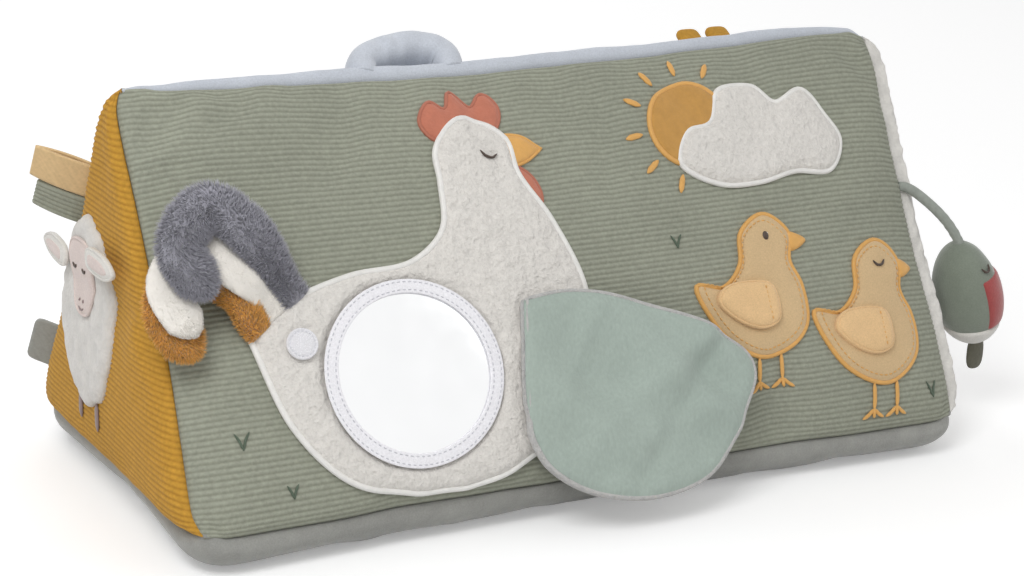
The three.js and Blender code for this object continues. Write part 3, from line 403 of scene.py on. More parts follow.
def waves(a, b, wide, tall, seed, amount):
    """Puckers that cross each seam and fade into the panel, over a broad unevenness of the filling."""
    flat = np.stack([a, b, np.zeros_like(a)], -1)
    across = noise(flat, (0.013, 0.05, 1), seed) + 0.6 * noise(flat, (0.006, 0.04, 1), seed + 1)
    along_it = noise(flat, (0.05, 0.013, 1), seed + 2) + 0.6 * noise(flat, (0.04, 0.006, 1), seed + 3)
    rows = np.exp(-np.maximum(b, 0) / 0.013) + np.exp(-np.maximum(tall - b, 0) / 0.013)
    columns = np.exp(-np.maximum(a, 0) / 0.010) + np.exp(-np.maximum(wide - a, 0) / 0.010)
    broad = noise(flat, 0.052, seed + 4) + 0.5 * noise(flat, 0.024, seed + 5)
    edge = np.minimum(np.minimum(a, wide - a), np.minimum(b, tall - b))
    return amount * smooth(edge / 0.006) * (0.0004 * across * rows + 0.0004 * along_it * columns + 0.0007 * broad)


DRAPE = {}
ENDS = ("left", "right")
SEAM_SHRINK = 0.015
FOLD_CAP = 0.0024


def bag_numbers(rows, columns):
    """Point numbers of the five panels of one sewn bag: neighbours share the numbers along their seam."""
    grid = np.arange((rows + 1) * (columns + 1)).reshape(rows + 1, columns + 1)
    front, rear, base = grid, grid + grid.size, grid + 2 * grid.size
    rear[rows], base[0], base[rows] = front[rows], front[0], rear[0]
    numbers = {"front": front, "rear": rear, "base": base}
    j = np.arange(rows + 1)
    for name, column in zip(ENDS, (0, columns)):
        first = 3 * grid.size + (column > 0) * (rows + 1) ** 2
        end = np.arange((rows + 1) ** 2).reshape(rows + 1, rows + 1) + first
        end[j, 0], end[0, j], end[j, rows - j] = front[:, column], base[:, column], rear[:, column]
        numbers[name] = end
    return numbers


def bag_mesh(numbers, rows):
    """Mesh of the bag on the bare panels, the numbers that it uses, and the place of every number."""
    start, faces = np.zeros((max(int(n.max()) for n in numbers.values()) + 1, 3)), []
    for name, number in numbers.items():
        last = number.shape[1] - 1
        q, p = np.meshgrid(np.arange(rows + 1) / rows, np.arange(last + 1) / last, indexing="ij")
        if name in ENDS:
            keep = p + q < 1 + 1e-6
            across = np.clip(p / np.maximum(1 - q, 1e-9), 0, 1)
            start[number[keep]] = panel(name).surface(across, q)[keep]
            a, b, c, d = number[:-1, :-1], number[:-1, 1:], number[1:, 1:], number[1:, :-1]
            step = np.add.outer(np.arange(rows), np.arange(rows))
            faces += [np.stack([a, b, d], -1)[step < rows], np.stack([b, c, d], -1)[step < rows - 1]]
        else:
            start[number] = panel(name).surface(p, q)
            faces.append(number.ravel()[grid_faces(*number.shape)])
    used, flat = np.unique(np.concatenate([f.ravel() for f in faces]), return_inverse=True)
    parts = np.split(flat, np.cumsum([f.size for f in faces])[:-1])
    mesh = bpy.data.meshes.new("sewn bag")
    mesh.from_pydata(start[used], [], [row for p, f in zip(parts, faces) for row in p.reshape(f.shape).tolist()])
    work = bmesh.new()
    work.from_mesh(mesh)
    bmesh.ops.recalc_face_normals(work, faces=work.faces)
    work.to_mesh(mesh)
    work.free()
    return mesh, used, start


def evened(values, a, b, rounds):
    """Values at mesh points drawn towards the mean of their neighbours a number of times."""
    count = len(values)
    degree = np.bincount(np.concatenate([a, b]), minlength=count)[:, None]
    for _ in range(rounds):
        near = [np.bincount(a, values[b, k], count) + np.bincount(b, values[a, k], count) for k in range(3)]
        values = (values + np.stack(near, -1) / degree) / 2
    return values


def sew_and_fill(rows=36, columns=70, frames=20):
    """Cloth run of the whole cover: the seams drawn shorter than the panels, then pressure from inside.

    The broad swelling is taken off again, because the panels already have it, and the folds that stay are capped.
    """
    scene = bpy.context.scene
    numbers = bag_numbers(rows, columns)
    mesh, used, start = bag_mesh(numbers, rows)
    bag = bpy.data.objects.new("sewn bag", mesh)
    scene.collection.objects.link(bag)
    sides = [numbers[name][:, [0, -1]].ravel() for name in ("front", "rear", "base")]
    seams = np.concatenate([numbers["front"][[0, -1]].ravel(), numbers["rear"][0], *sides])
    group = bag.vertex_groups.new(name="seam")
    group.add(np.searchsorted(used, np.unique(seams)).tolist(), 1.0, "REPLACE")
    cloth = bag.modifiers.new("cloth", "CLOTH")
    rule = cloth.settings
    rule.quality, rule.mass, rule.air_damping = 6, 0.2, 2.0
    rule.tension_stiffness, rule.compression_stiffness = 40, 24
    rule.shear_stiffness, rule.bending_stiffness = 12, 0.4
    rule.use_pressure, rule.uniform_pressure_force = True, 10.0
    rule.vertex_group_shrink, rule.shrink_min, rule.shrink_max = "seam", -SEAM_SHRINK, SEAM_SHRINK
    rule.effector_weights.gravity = 0.0
    cloth.collision_settings.use_collision = False
    cloth.point_cache.frame_end = frames
    for at in range(1, frames + 1):
        scene.frame_set(at)
    result = bag.evaluated_get(bpy.context.evaluated_depsgraph_get()).data
    end = np.empty(len(result.vertices) * 3, np.float32)
    result.vertices.foreach_get("co", end)
    edges = np.empty(len(mesh.edges) * 2, np.int32)
    mesh.edges.foreach_get("vertices", edges)
    a, b = edges.reshape(-1, 2).T
    move = end.reshape(-1, 3) - start[used]
    folds = (evened(move, a, b, 1) - evened(move, a, b, 22)) * cover().pucker
    length = np.maximum(np.linalg.norm(folds, axis=1, keepdims=True), 1e-9)
    folds *= FOLD_CAP * np.tanh(length / FOLD_CAP) / length
    folds[:, 2] = np.maximum(folds[:, 2], 0.0003 - start[used][:, 2])
    move = np.zeros_like(start)
    move[used] = folds
    scene.frame_set(1)
    bpy.data.objects.remove(bag)
    bpy.data.meshes.remove(mesh)
    j, i = np.indices((rows + 1, rows + 1))
    for name, number in numbers.items():
        field = move[number]
        if name in ENDS:
            field = np.where((i + j > rows)[..., None], field[rows - i, rows - j], field)
        DRAPE[name] = field


def cubic_shares(f):
    """Four shares of a cubic that passes through the middle two of four values."""
    first, second = (-f + 2 * f**2 - f**3) / 2, 1 - 2.5 * f**2 + 1.5 * f**3
    return first, second, (f + 4 * f**2 - 3 * f**3) / 2, (f**3 - f**2) / 2


def drape(name, p, q):
    """Move of the cloth at a place of a panel: a cubic mix of the sixteen nearest moves of the cloth run."""
    field = DRAPE.get(name)
    if field is None:
        return 0.0
    rows, columns = field.shape[0] - 1, field.shape[1] - 1
    x = np.clip(p * (1 - q) if name in ENDS else p, 0, 1) * columns
    y = np.clip(q, 0, 1) * rows
    i, j = np.minimum(x.astype(int), columns - 1), np.minimum(y.astype(int), rows - 1)
    total = 0.0
    for a, down in enumerate(cubic_shares(y - j), -1):
        for b, across in enumerate(cubic_shares(x - i), -1):
            near = field[np.clip(j + a, 0, rows), np.clip(i + b, 0, columns)]
            total = total + (down * across)[..., None] * near
    return total


def seam_sink(edge, depth=0.0004):
    """Drop of the fabric into a seam: full at the seam and gone 3 mm away."""
    return -depth * np.exp(-((np.maximum(edge, 0) / 0.0016) ** 2))


class Panel:
    """One cover panel: its surface, the sign that makes its normal point out, its flat size and its waves."""

    def __init__(self, name, surface, outward, wide, tall, seed):
        self.name, self.surface, self.outward = name, surface, outward
        self.wide, self.tall, self.seed = wide, tall, seed

    def normal(self, p, q, step=0.002):
        """Outward normal: the cross product of the slopes found by small steps to either side."""
        across = self.surface(p + step, q) - self.surface(p - step, q)
        up = self.surface(p, q + step) - self.surface(p, q - step)
        return self.outward * unit(np.cross(across, up))

    def point(self, p, q, lift=0.0, bare=False):
        """Point of the panel, moved by the cloth run, its waves and a lift; the front is held flat by the mirror."""
        p, q = np.broadcast_arrays(np.asarray(p, float), np.asarray(q, float))
        if bare:
            return self.surface(p, q) + self.normal(p, q) * np.asarray(lift)[..., None]
        amount = 0.5 if self.name == "base" else 1.0
        move = waves(p * self.wide, q * self.tall, self.wide, self.tall, self.seed, amount)
        flex = 1.0
        if self.name == "front":
            across = (p - along(MIRROR_AT[0] * MM)) * self.wide
            away = np.hypot(across, q * self.tall - MIRROR_AT[1] * MM)
            flex = smooth((away - 0.038) / 0.014)
        shift = drape(self.name, p, q) * np.asarray(flex)[..., None]
        return self.surface(p, q) + shift + self.normal(p, q) * np.asarray(move * flex + lift)[..., None]

    def edges(self, p, q):
        """Distance from a place of the panel to its nearest seam."""
        narrow = (1 - q) if self.name in ENDS else 1
        return np.minimum(np.minimum(p, 1 - p) * self.wide * narrow, np.minimum(q, 1 - q) * self.tall)


def panel(name):
    """The named panel of the cover."""
    z = cover()
    tall = z.side * ROOT3 / 2
    return Panel(name, *{
        "front": (lambda u, v: long_face(-1, u, v), 1, z.length, z.side, 11),
        "rear": (lambda u, v: long_face(1, u, v), -1, z.length, z.side, 23),
        "left": (lambda s, t: end_face(-1, s, t), -1, z.side, tall, 37),
        "right": (lambda s, t: end_face(1, s, t), 1, z.side, tall, 41),
        "base": (base_face, -1, z.length, z.side, 53),
    }[name])


def along(a):
    """Share of the front panel's length: a runs from the left of the cut cloth, whose middle is the panel's."""
    return 0.5 + (np.asarray(a) - CUT_LENGTH / 2) / cover().length


def on_front(a, b, lift=0.0, bare=False):
    """Point a metres from the left of the cut cloth and b metres up the front panel, raised by lift."""
    return panel("front").point(along(a), np.asarray(b) / cover().side, lift, bare)


def on_left(a, b, lift=0.0, bare=False):
    """Point of the left end, a metres towards the front from its middle line, at height b."""
    _, foot, low, top = section()
    t = (np.asarray(b) - low) / (top - low)
    s = (1 - np.asarray(a) / (foot * (1 - t))) / 2
    return panel("left").point(s, t, lift, bare)


class Local:
    """A flat working frame: point, right, up and out directions."""

    def __init__(self, at, right, up, out):
        self.at, self.right, self.up, self.out = at, right, up, out

    def __call__(self, a, b, lift=0.0):
        """Point a to the right, b up and lift outwards."""
        a, b, lift = np.broadcast_arrays(np.asarray(a, float), np.asarray(b, float), np.asarray(lift, float))
        return self.at + a[..., None] * self.right + b[..., None] * self.up + lift[..., None] * self.out


def hinge_frame(place, about, lift, lean=0.0):
    """Working frame over a point of a bare panel: right along it, out along its normal, turned by a lean."""
    a, b, step = about[0] * MM, about[1] * MM, 0.001
    right = unit(place(a + step, b, 0.0, True) - place(a - step, b, 0.0, True))
    up = unit(place(a, b + step, 0.0, True) - place(a, b - step, 0.0, True))
    out = unit(np.cross(right, up))
    up = np.cross(out, right)
    turned = right * math.cos(lean) + up * math.sin(lean)
    return Local(place(a, b, lift, True), turned, np.cross(out, turned), out)


# Meshes


def grid_faces(rows, columns, wrap_rows=False, wrap_columns=False):
    """Four-cornered faces of a grid of points, wrapped round where a direction closes on itself."""
    index = np.arange(rows * columns).reshape(rows, columns)
    if wrap_rows:
        index = np.concatenate([index, index[:1]])
    if wrap_columns:
        index = np.concatenate([index, index[:, :1]], axis=1)
    quads = [index[:-1, :-1], index[:-1, 1:], index[1:, 1:], index[1:, :-1]]
    return np.stack([q.ravel() for q in quads], -1)


class Form:
    """Arrays of one piece: points, faces with their material number, and two values for each point."""

    def __init__(self):
        self.points, self.faces, self.slots, self.tones, self.runs = [], [], [], [], []
        self.count = 0

    def add(self, points, *faces, slot=0, tone=0.5, run=0.0):
        """Join a shape: arrays of three or four-cornered faces, a material number, a tone and a distance along."""
        points = np.asarray(points, float).reshape(-1, 3)
        self.points.append(points)
        for part in faces:
            self.faces.append(part + self.count)
            self.slots.append(np.full(len(part), slot))
        for values, value in ((self.tones, tone), (self.runs, run)):
            values.append(np.broadcast_to(np.asarray(value, float).ravel(), (len(points),)))
        self.count += len(points)

    def make(self, name, materials, node, slot, body="cushion", merge=False, bend=None, fill=None):
        """Put the arrays into a mesh object for the solid of a node, on a body unless bend points are given.

        Cloth sewn to the cushion at a hinge gives two bend points, but nothing bends it between them.
        The fill of a stuffed piece is not used.
        """
        points = np.concatenate(self.points)
        corners = np.concatenate([f.ravel() for f in self.faces])
        totals = np.concatenate([np.full(len(f), f.shape[1]) for f in self.faces])
        mesh = bpy.data.meshes.new(name)
        mesh.vertices.add(len(points))
        mesh.vertices.foreach_set("co", points.astype(np.float32).ravel())
        mesh.loops.add(len(corners))
        mesh.loops.foreach_set("vertex_index", corners.astype(np.int32))
        mesh.polygons.add(len(totals))
        starts = np.concatenate([[0], np.cumsum(totals)[:-1]])
        mesh.polygons.foreach_set("loop_start", starts.astype(np.int32))
        mesh.polygons.foreach_set("material_index", np.concatenate(self.slots).astype(np.int32))
        mesh.polygons.foreach_set("use_smooth", np.ones(len(totals), bool))
        for key, values in (("tone", self.tones), ("run", self.runs)):
            layer = mesh.attributes.new(key, "FLOAT", "POINT")
            layer.data.foreach_set("value", np.concatenate(values).astype(np.float32))
        for material in materials:
            mesh.materials.append(material)
        mesh.update(calc_edges=True)
        mesh.validate()
        if merge:
            work = bmesh.new()
            work.from_mesh(mesh)
            bmesh.ops.remove_doubles(work, verts=work.verts, dist=2e-6)
            bmesh.ops.dissolve_degenerate(work, edges=work.edges, dist=1e-7)
            work.to_mesh(mesh)
            work.free()
        piece = bpy.data.objects.new(name, mesh)
        bpy.context.scene.collection.objects.link(piece)
        if bend:
            tuple(bend[0])
            tuple(bend[1])
            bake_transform(piece)
        else:
            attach(piece, body)
        if node:
            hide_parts(node)
        return piece


def shell(form, outer, inner, tone=0.5):
    """Closed sheet: an outer grid, the inner grid turned over, and a rim round the edge."""
    rows, columns = outer.shape[:2]
    face = grid_faces(rows, columns)
    size = rows * columns
    index = np.arange(size).reshape(rows, columns)
    edge = np.concatenate([index[0, :-1], index[:-1, -1], index[-1, :0:-1], index[:0:-1, 0]])
    ahead = np.roll(edge, -1)
    rim = np.stack([ahead, edge, edge + size, ahead + size], -1)
    both = np.concatenate([outer.reshape(-1, 3), inner.reshape(-1, 3)])
    tone = np.tile(np.broadcast_to(tone, (rows, columns)).ravel(), 2)
    form.add(both, np.concatenate([face, face[:, ::-1] + size, rim]), tone=tone)


def capped(form, skin, tips, slot=0, run=0.0):
    """Rows of points closed round, and drawn to a tip at either end."""
    rows, columns = skin.shape[:2]
    k = np.arange(columns)
    k1, tip, last = (k + 1) % columns, np.full(columns, rows * columns), (rows - 1) * columns
    caps = np.concatenate([np.stack([tip, k1, k], -1), np.stack([tip + 1, last + k, last + k1], -1)])
    run = np.broadcast_to(run, (rows, columns)).ravel()
    skin = np.concatenate([skin.reshape(-1, 3), tips])
    form.add(skin, grid_faces(rows, columns, wrap_columns=True), caps, slot=slot, run=np.append(run, run[[0, -1]]))


def within(points, outline):
    """True for points inside an outline, by counting the edges crossed on the way out."""
    x, y = points[:, :1], points[:, 1:2]
    x0, y0 = outline[:, 0], outline[:, 1]
    x1, y1 = np.roll(x0, -1), np.roll(y0, -1)
    crosses = (y0 > y) != (y1 > y)
    meet = (x1 - x0) * (y - y0) / np.where(y1 == y0, 1e-12, y1 - y0) + x0
    return (crosses & (x < meet)).sum(1) % 2 == 1


def edge_distance(points, outline):
    """Least distance from each point to the edges of an outline."""
    start = outline[None]
    run = np.roll(outline, -1, 0)[None] - start
    gap = points[:, None] - start
    t = np.clip((gap * run).sum(-1) / np.maximum((run * run).sum(-1), 1e-18), 0, 1)
    return np.sqrt((((gap - t[..., None] * run) ** 2).sum(-1)).min(1))


def fill_outline(outline, step, insets):
    """Flat triangles inside an outline: its own points, rows inside it and a staggered grid."""
    low, high = outline.min(0), outline.max(0)
    rows = np.arange(low[1], high[1], step * 0.866)
    columns = np.arange(low[0], high[0] + step, step)
    b, a = np.meshgrid(rows, columns, indexing="ij")
    a = a + (np.arange(len(rows)) % 2)[:, None] * step / 2
    tangent = unit(np.roll(outline, -1, 0) - np.roll(outline, 1, 0))
    inward = np.stack([-tangent[:, 1], tangent[:, 0]], -1)
    free = np.stack([a.ravel(), b.ravel()], -1)
    points, least = [free], [np.full(len(free), (insets[-1] if len(insets) else 0) + 0.55 * step)]
    for inset in insets:
        points.append(outline + inward * inset)
        least.append(np.full(len(outline), inset * 0.94))
    points, least = np.concatenate(points), np.concatenate(least)
    keep = within(points, outline) & (edge_distance(points, outline) > least)
    points = np.concatenate([outline, points[keep]])
    loop = [list(range(len(outline)))]
    flat, _, faces, _, _, _ = delaunay_2d_cdt([tuple(p) for p in points], [], loop, 1, 1e-9)
    return np.array([tuple(p) for p in flat]), np.array([f for f in faces if len(f) == 3])


def patch(form, place, outline, height, base, step, slot=0, rows=(0.0004, 0.0011, 0.0022), tone=None):
    """Closed soft patch: its top rises from the outline by a height over the edge distance, its back lies at base."""
    flat, faces = fill_outline(outline, step, rows)
    depth = edge_distance(flat, outline)
    top = place(flat[:, 0], flat[:, 1], height(depth, flat))
    back = place(flat[:, 0], flat[:, 1], np.where(depth < 1e-7, height(depth * 0, flat), base))
    both = np.concatenate([faces, faces[:, ::-1] + len(flat)])
    form.add(np.concatenate([top, back]), both, slot=slot, tone=np.tile(tone(flat), 2) if tone else 0.5)


def pillow(low, rise, reach):
    """Height over the edge distance: a quarter-round edge that levels out over the reach."""
    return lambda depth, flat: low + rise * round_edge(depth, reach)


def tube(form, path, side, out, half_wide, half_high, around, closed=False, slot=0, power=1.0):
    """Oval profile carried along a path; half sizes may vary over it, and open ends are drawn to a point."""
    size = (len(path), around)
    halves = (v[:, None] if np.ndim(v) == 1 else v for v in (half_wide, half_high))
    wide, high = (np.broadcast_to(v, size)[..., None] for v in halves)
    c, s = (signed_power(f(turns(around)), power)[None, :, None] for f in (np.cos, np.sin))
    skin = path[:, None] + side[:, None] * wide * c + out[:, None] * high * s
    run = walk(path)[:, None]
    if closed:
        faces = grid_faces(*size, wrap_rows=True, wrap_columns=True)
        form.add(skin, faces, slot=slot, run=np.broadcast_to(run, size))
    else:
        capped(form, skin, path[[0, -1]], slot, run)


def surface_frames(place, flat, lift=0.0, closed=False):
    """Points, sideways and outward directions along a line drawn on a panel."""
    points = place(flat[:, 0], flat[:, 1], lift)
    out = unit(place(flat[:, 0], flat[:, 1], lift + 0.001) - points)
    ahead = np.roll(points, -1, 0) - np.roll(points, 1, 0) if closed else np.gradient(points, axis=0)
    return points, unit(np.cross(ahead, out)), out


def edging(form, place, outline, width, height, lift, slot, around=9):
    """Raised satin edge: a half-round profile carried round an outline."""
    tube(form, *surface_frames(place, outline, lift, closed=True), width / 2, height, around, True, slot, 0.85)


def stroke(form, place, line, width, lift, slot, taper=0.25, height=0.0006, count=18):
    """Satin stroke: a low profile along a smooth line, narrow at both ends."""
    flat = spline(np.asarray(line, float) * MM, count)
    t = np.linspace(0, 1, count)
    wide = width / 2 * np.sqrt(np.clip(np.minimum(t, 1 - t) / taper, 0.02, 1))
    high = height * np.sqrt(wide / wide.max())
    tube(form, *surface_frames(place, flat, lift), wide, high, 8, False, slot, 0.9)


def repeated(form, skin, quads, tris, **values):
    """Many small shapes with the same faces: points by shape, and the faces of the first one."""
    shift = (np.arange(len(skin)) * skin.shape[1])[:, None, None]
    form.add(skin, (quads[None] + shift).reshape(-1, 4), (tris[None] + shift).reshape(-1, 3), **values)


def stitches(form, place, line, closed, pitch, length, width, lift, slot):
    """Running stitches: rounded grains with six sides and two points, set along a line at an even pitch."""
    ring = np.concatenate([line, line[:1]]) if closed else line
    run = walk(ring)
    count = max(2, int(run[-1] / pitch))
    at = (np.arange(count) + 0.5) * run[-1] / count
    flat, ahead = (np.stack([np.interp(at + d, run, ring[:, i]) for i in (0, 1)], -1) for d in (0, 0.0004))
    points = place(flat[:, 0], flat[:, 1], lift)
    out = unit(place(flat[:, 0], flat[:, 1], lift + 0.001) - points)
    forward = unit(place(ahead[:, 0], ahead[:, 1], lift) - points)
    side = np.cross(out, forward)
    ring = 0.45 * np.stack([np.zeros(6), np.cos(turns(6)), np.sin(turns(6))], -1)
    grain = np.concatenate([[[-0.5, 0, 0]], ring + [-0.28, 0, 0], ring + [0.28, 0, 0], [[0.5, 0, 0]]])
    grain = (grain * np.array([length, width, width]))[None]
    skin = points[:, None] + sum(grain[..., i : i + 1] * v[:, None] for i, v in enumerate((forward, side, out)))
    k = np.arange(6)
    k1, zero, last = (k + 1) % 6, np.zeros(6, int), np.full(6, 13)
    tris = np.concatenate([np.stack([zero, 1 + k1, 1 + k], -1), np.stack([last, 7 + k, 7 + k1], -1)])
    repeated(form, skin, np.stack([1 + k, 1 + k1, 7 + k1, 7 + k], -1), tris, slot=slot, tone=0.6)


def pile(form, roots, lean, length, width, seed):
    """Plush pile: three-sided hairs from each root, bent once on the way, darker at the root than at the tip."""
    rng = np.random.default_rng(seed)
    count = len(roots)
    reach = length * rng.uniform(0.6, 1.1, count)[:, None]
    bend = unit(lean + 0.15 * rng.normal(size=(count, 3)))
    middle = roots + unit(lean) * reach * 0.5
    tip = middle + bend * reach * 0.5
    side = unit(np.cross(lean, rng.normal(size=(count, 3))))
    other = unit(np.cross(lean, side))
    turn = (np.array([0, 2, 4]) * math.pi / 3)[None, :, None]
    ring = (side[:, None] * np.cos(turn) + other[:, None] * np.sin(turn)) * width
    skin = np.concatenate([roots[:, None] + ring, middle[:, None] + ring * 0.75, tip[:, None]], axis=1)
    k = np.arange(3)
    k1 = (k + 1) % 3
    tris = np.concatenate([np.stack([3 + k, 3 + k1, np.full(3, 6)], -1), [[2, 1, 0]]])
    # The tone gives painted shade at the roots and paler tips.
    tone = np.tile([0.0, 0.0, 0.0, 0.55, 0.55, 0.55, 1.0], count)
    own = np.repeat(rng.uniform(0, 1, count), 7)
    repeated(form, skin, np.stack([k, k1, 3 + k1, 3 + k], -1), tris, tone=tone, run=own)


def lump(form, place, rows, columns):
    """Closed rounded body: a place function of an angle from pole to pole and an angle round."""
    skin = place(np.linspace(0, math.pi, rows)[:, None], turns(columns)[None])
    form.add(skin, grid_faces(rows, columns, wrap_columns=True)[:, ::-1])


# Materials


def add_node(tree, kind, inputs=None, **settings):
    """New shader node with its settings, values and links."""
    node = tree.nodes.new("ShaderNode" + kind)
    for key, value in settings.items():
        setattr(node, key, value)
    for key, value in (inputs or {}).items():
        if isinstance(value, bpy.types.NodeSocket):
            tree.links.new(value, node.inputs[key])
        else:
            node.inputs[key].default_value = value
    return node


class Finish:
    """A procedural material under construction: object coordinates, value tools and one shader."""

    def __init__(self, name, roughness=0.9, sheen=0.0, spread=0.5, gloss=0.5, metal=0.0):
        self.material = bpy.data.materials.new(name)
        self.material.use_nodes = True
        self.tree = self.material.node_tree
        self.tree.nodes.clear()
        end = add_node(self.tree, "OutputMaterial")
        inputs = {"Roughness": roughness, "Sheen Weight": sheen, "Sheen Roughness": spread}
        inputs |= {"Specular IOR Level": gloss, "Metallic": metal}
        self.shader = add_node(self.tree, "BsdfPrincipled", inputs)
        self.tree.links.new(self.shader.outputs[0], end.inputs[0])
        self.place = add_node(self.tree, "TexCoord").outputs["Object"]

    def value(self, name):
        """Value that the piece's own mesh carries."""
        return add_node(self.tree, "Attribute", attribute_name=name).outputs["Fac"]

    def grain(self, scale, detail=2.0, roughness=0.55, stretch=None):
        """Noise over the piece, stretched where asked."""
        where = self.place
        if stretch:
            where = add_node(self.tree, "Mapping", {"Vector": where, "Scale": stretch}).outputs[0]
        inputs = {"Vector": where, "Scale": scale, "Detail": detail, "Roughness": roughness}
        return add_node(self.tree, "TexNoise", inputs).outputs["Fac"]

    def cells(self, scale):
        """Distance to the nearest of scattered points."""
        return add_node(self.tree, "TexVoronoi", {"Vector": self.place, "Scale": scale}).outputs["Distance"]

    def span(self, value, low, high, start=0.0, end=1.0):
        """A value mapped from one range to another and held there."""
        inputs = {"Value": value, "From Min": low, "From Max": high, "To Min": start, "To Max": end}
        return add_node(self.tree, "MapRange", inputs).outputs[0]

    def sum(self, kind, a, b):
        """Two values put together by a sum, product or other rule."""
        return add_node(self.tree, "Math", {0: a, 1: b}, operation=kind).outputs[0]

    def mix(self, factor, a, b):
        """Two colours mixed by a factor."""
        inputs = {0: factor, 6: (*a, 1.0), 7: (*b, 1.0)}
        return add_node(self.tree, "Mix", inputs, data_type="RGBA").outputs[2]

    def paint(self, colour, *shades):
        """Colour of the shader, made darker and lighter by each value in turn between a low and a high factor."""
        colour = colour if isinstance(colour, bpy.types.NodeSocket) else tuple(colour)
        for value, low, high in shades:
            inputs = {0: colour, "Scale": self.span(value, 0.25, 0.75, low, high)}
            colour = add_node(self.tree, "VectorMath", inputs, operation="SCALE").outputs[0]
        self.tree.links.new(colour, self.shader.inputs["Base Color"])

    def relief(self, height, distance, strength):
        """The finished material, with a bump of the shader from a height."""
        inputs = {"Height": height, "Distance": distance, "Strength": strength}
        self.tree.links.new(add_node(self.tree, "Bump", inputs).outputs[0], self.shader.inputs["Normal"])
        return self.material


def corduroy(name, ridge, groove):
    """Ribbed cotton: painted shade in the grooves, soft ridges, uneven nap and short fibres across the ribs."""
    f = Finish(name, 0.94, 0.07, gloss=0.2)
    # The rib tone mixes from the painted groove shade to the ridge colour.
    ribs = f.mix(f.span(f.value("tone"), 0.05, 0.8), groove, ridge)
    f.paint(ribs, (f.grain(26, 3), 0.93, 1.06), (f.grain(620), 0.86, 1.1))
    return f.relief(f.grain(1100), 0.0004, 0.6)


def velour(name, colour, contrast=0.10, sheen=0.45):
    """Short dense nap that lies light and dark in soft patches, which are partly painted sheen."""
    f = Finish(name, 0.88, sheen, 0.45)
    nap = f.sum("ADD", f.sum("MULTIPLY", f.grain(38, 4, 0.6), 0.6), f.sum("MULTIPLY", f.grain(140, 3), 0.4))
    # The light and dark nap patches are partly painted sheen.
    f.paint(colour, (nap, 1 - contrast, 1 + contrast * 0.7), (f.grain(1500), 0.9, 1.08))
    return f.relief(f.grain(1300, 3), 0.0004, 0.5)


def heathered(name, colour, fleck, amount=0.55):
    """Fleece of mixed fibres: pale ground with small beige-grey flecks, and a cloudy surface with painted shade in its
    hollows.
    """
    f = Finish(name, 0.95, 0.25, 0.6)
    curl = f.grain(430, 3, 0.6)
    flecks = f.span(f.grain(760, 2, 0.6), 0.52, 0.7)
    # Painted shade: the colour darkens where the curl height is low.
    f.paint(f.mix(f.sum("MULTIPLY", flecks, amount), colour, fleck), (curl, 0.90, 1.06))
    return f.relief(f.sum("ADD", curl, f.grain(170)), 0.0016, 0.9)


def teddy(name, colour):
    """Curly fleece: small knots that are shaded in between."""
    f = Finish(name, 0.97, 0.3, 0.6)
    f.paint(colour, (f.value("tone"), 0.90, 1.03), (f.grain(500, 3), 0.93, 1.05))
    return f.relief(f.grain(700, 3), 0.0008, 0.8)


def felt(name, colour):
    """Pressed felt: matted fibres without a weave."""
    f = Finish(name, 0.95, 0.2, 0.6)
    f.paint(colour, (f.grain(260, 4, 0.7), 0.9, 1.08))
    return f.relief(f.grain(900, 3), 0.0005, 0.6)


def jersey(name, colour):
    """Fine knit: rows of small loops and a faint cloudiness."""
    f = Finish(name, 0.85, 0.2)
    f.paint(colour, (f.grain(34, 3), 0.95, 1.04), (f.grain(900, stretch=(1.0, 1.0, 0.35)), 0.92, 1.07))
    return f.relief(f.grain(1000, stretch=(1.0, 1.0, 0.4)), 0.0003, 0.5)


def plush(name, colour, mottle):
    """Pile fabric: shaded roots, paler tips and hairs that differ a little from each other."""
    f = Finish(name, 0.75, 0.5, 0.4)
    pile_colour = f.mix(f.value("tone"), [v * 0.82 for v in colour], [min(1.0, v * 1.12) for v in colour])
    f.paint(pile_colour, (f.value("run"), 1 - mottle, 1 + mottle * 0.6), (f.grain(160, 3), 0.9, 1.06))
    return f.relief(f.grain(900), 0.0004, 0.4)


def thread(name, colour, pitch=14000.0):
    """Satin thread: fine strands side by side across the stitch, with painted shade between them and a soft gloss."""
    f = Finish(name, 0.5, 0.15, gloss=0.4)
    strands = f.span(f.sum("SINE", f.sum("MULTIPLY", f.value("run"), pitch), 0.0), -1.0, 1.0)
    # Painted shade: darker between the strands, where the bump is low.
    f.paint(colour, (strands, 0.93, 1.03), (f.grain(300), 0.94, 1.05))
    return f.relief(strands, 0.00006, 0.6)


def woven(name, colour):
    """Plain ribbon or tape: fine crossing yarns."""
    f = Finish(name, 0.8, 0.12)
    warp, weft = (f.grain(900, 1, stretch=s) for s in ((1.0, 0.12, 1.0), (0.12, 1.0, 0.12)))
    yarn = f.sum("MULTIPLY", f.sum("ADD", warp, weft), 0.5)
    # Painted shade: darker between the yarns, where the bump is low.
    f.paint(colour, (yarn, 0.86, 1.08), (f.grain(90), 0.95, 1.04))
    return f.relief(yarn, 0.0004, 0.6)


def hook_tape(name, colour):
    """Closure tape: a field of tiny loops on a pale woven ground."""
    f = Finish(name, 0.7)
    loops = f.cells(1500)
    f.paint(colour, (f.span(loops, 0.0, 0.6), 1.03, 0.86))
    return f.relief(loops, 0.0003, 0.7)


def mirror_film(name):
    """Silvered plastic film with a very slight haze."""
    f = Finish(name, 0.05, metal=1.0)
    f.tree.links.new(f.span(f.grain(60, 3), 0.3, 0.7, 0.03, 0.09), f.shader.inputs["Roughness"])
    f.paint((0.94, 0.945, 0.95), (f.grain(30), 0.98, 1.02))
    return f.relief(f.grain(25), 0.0003, 0.1)


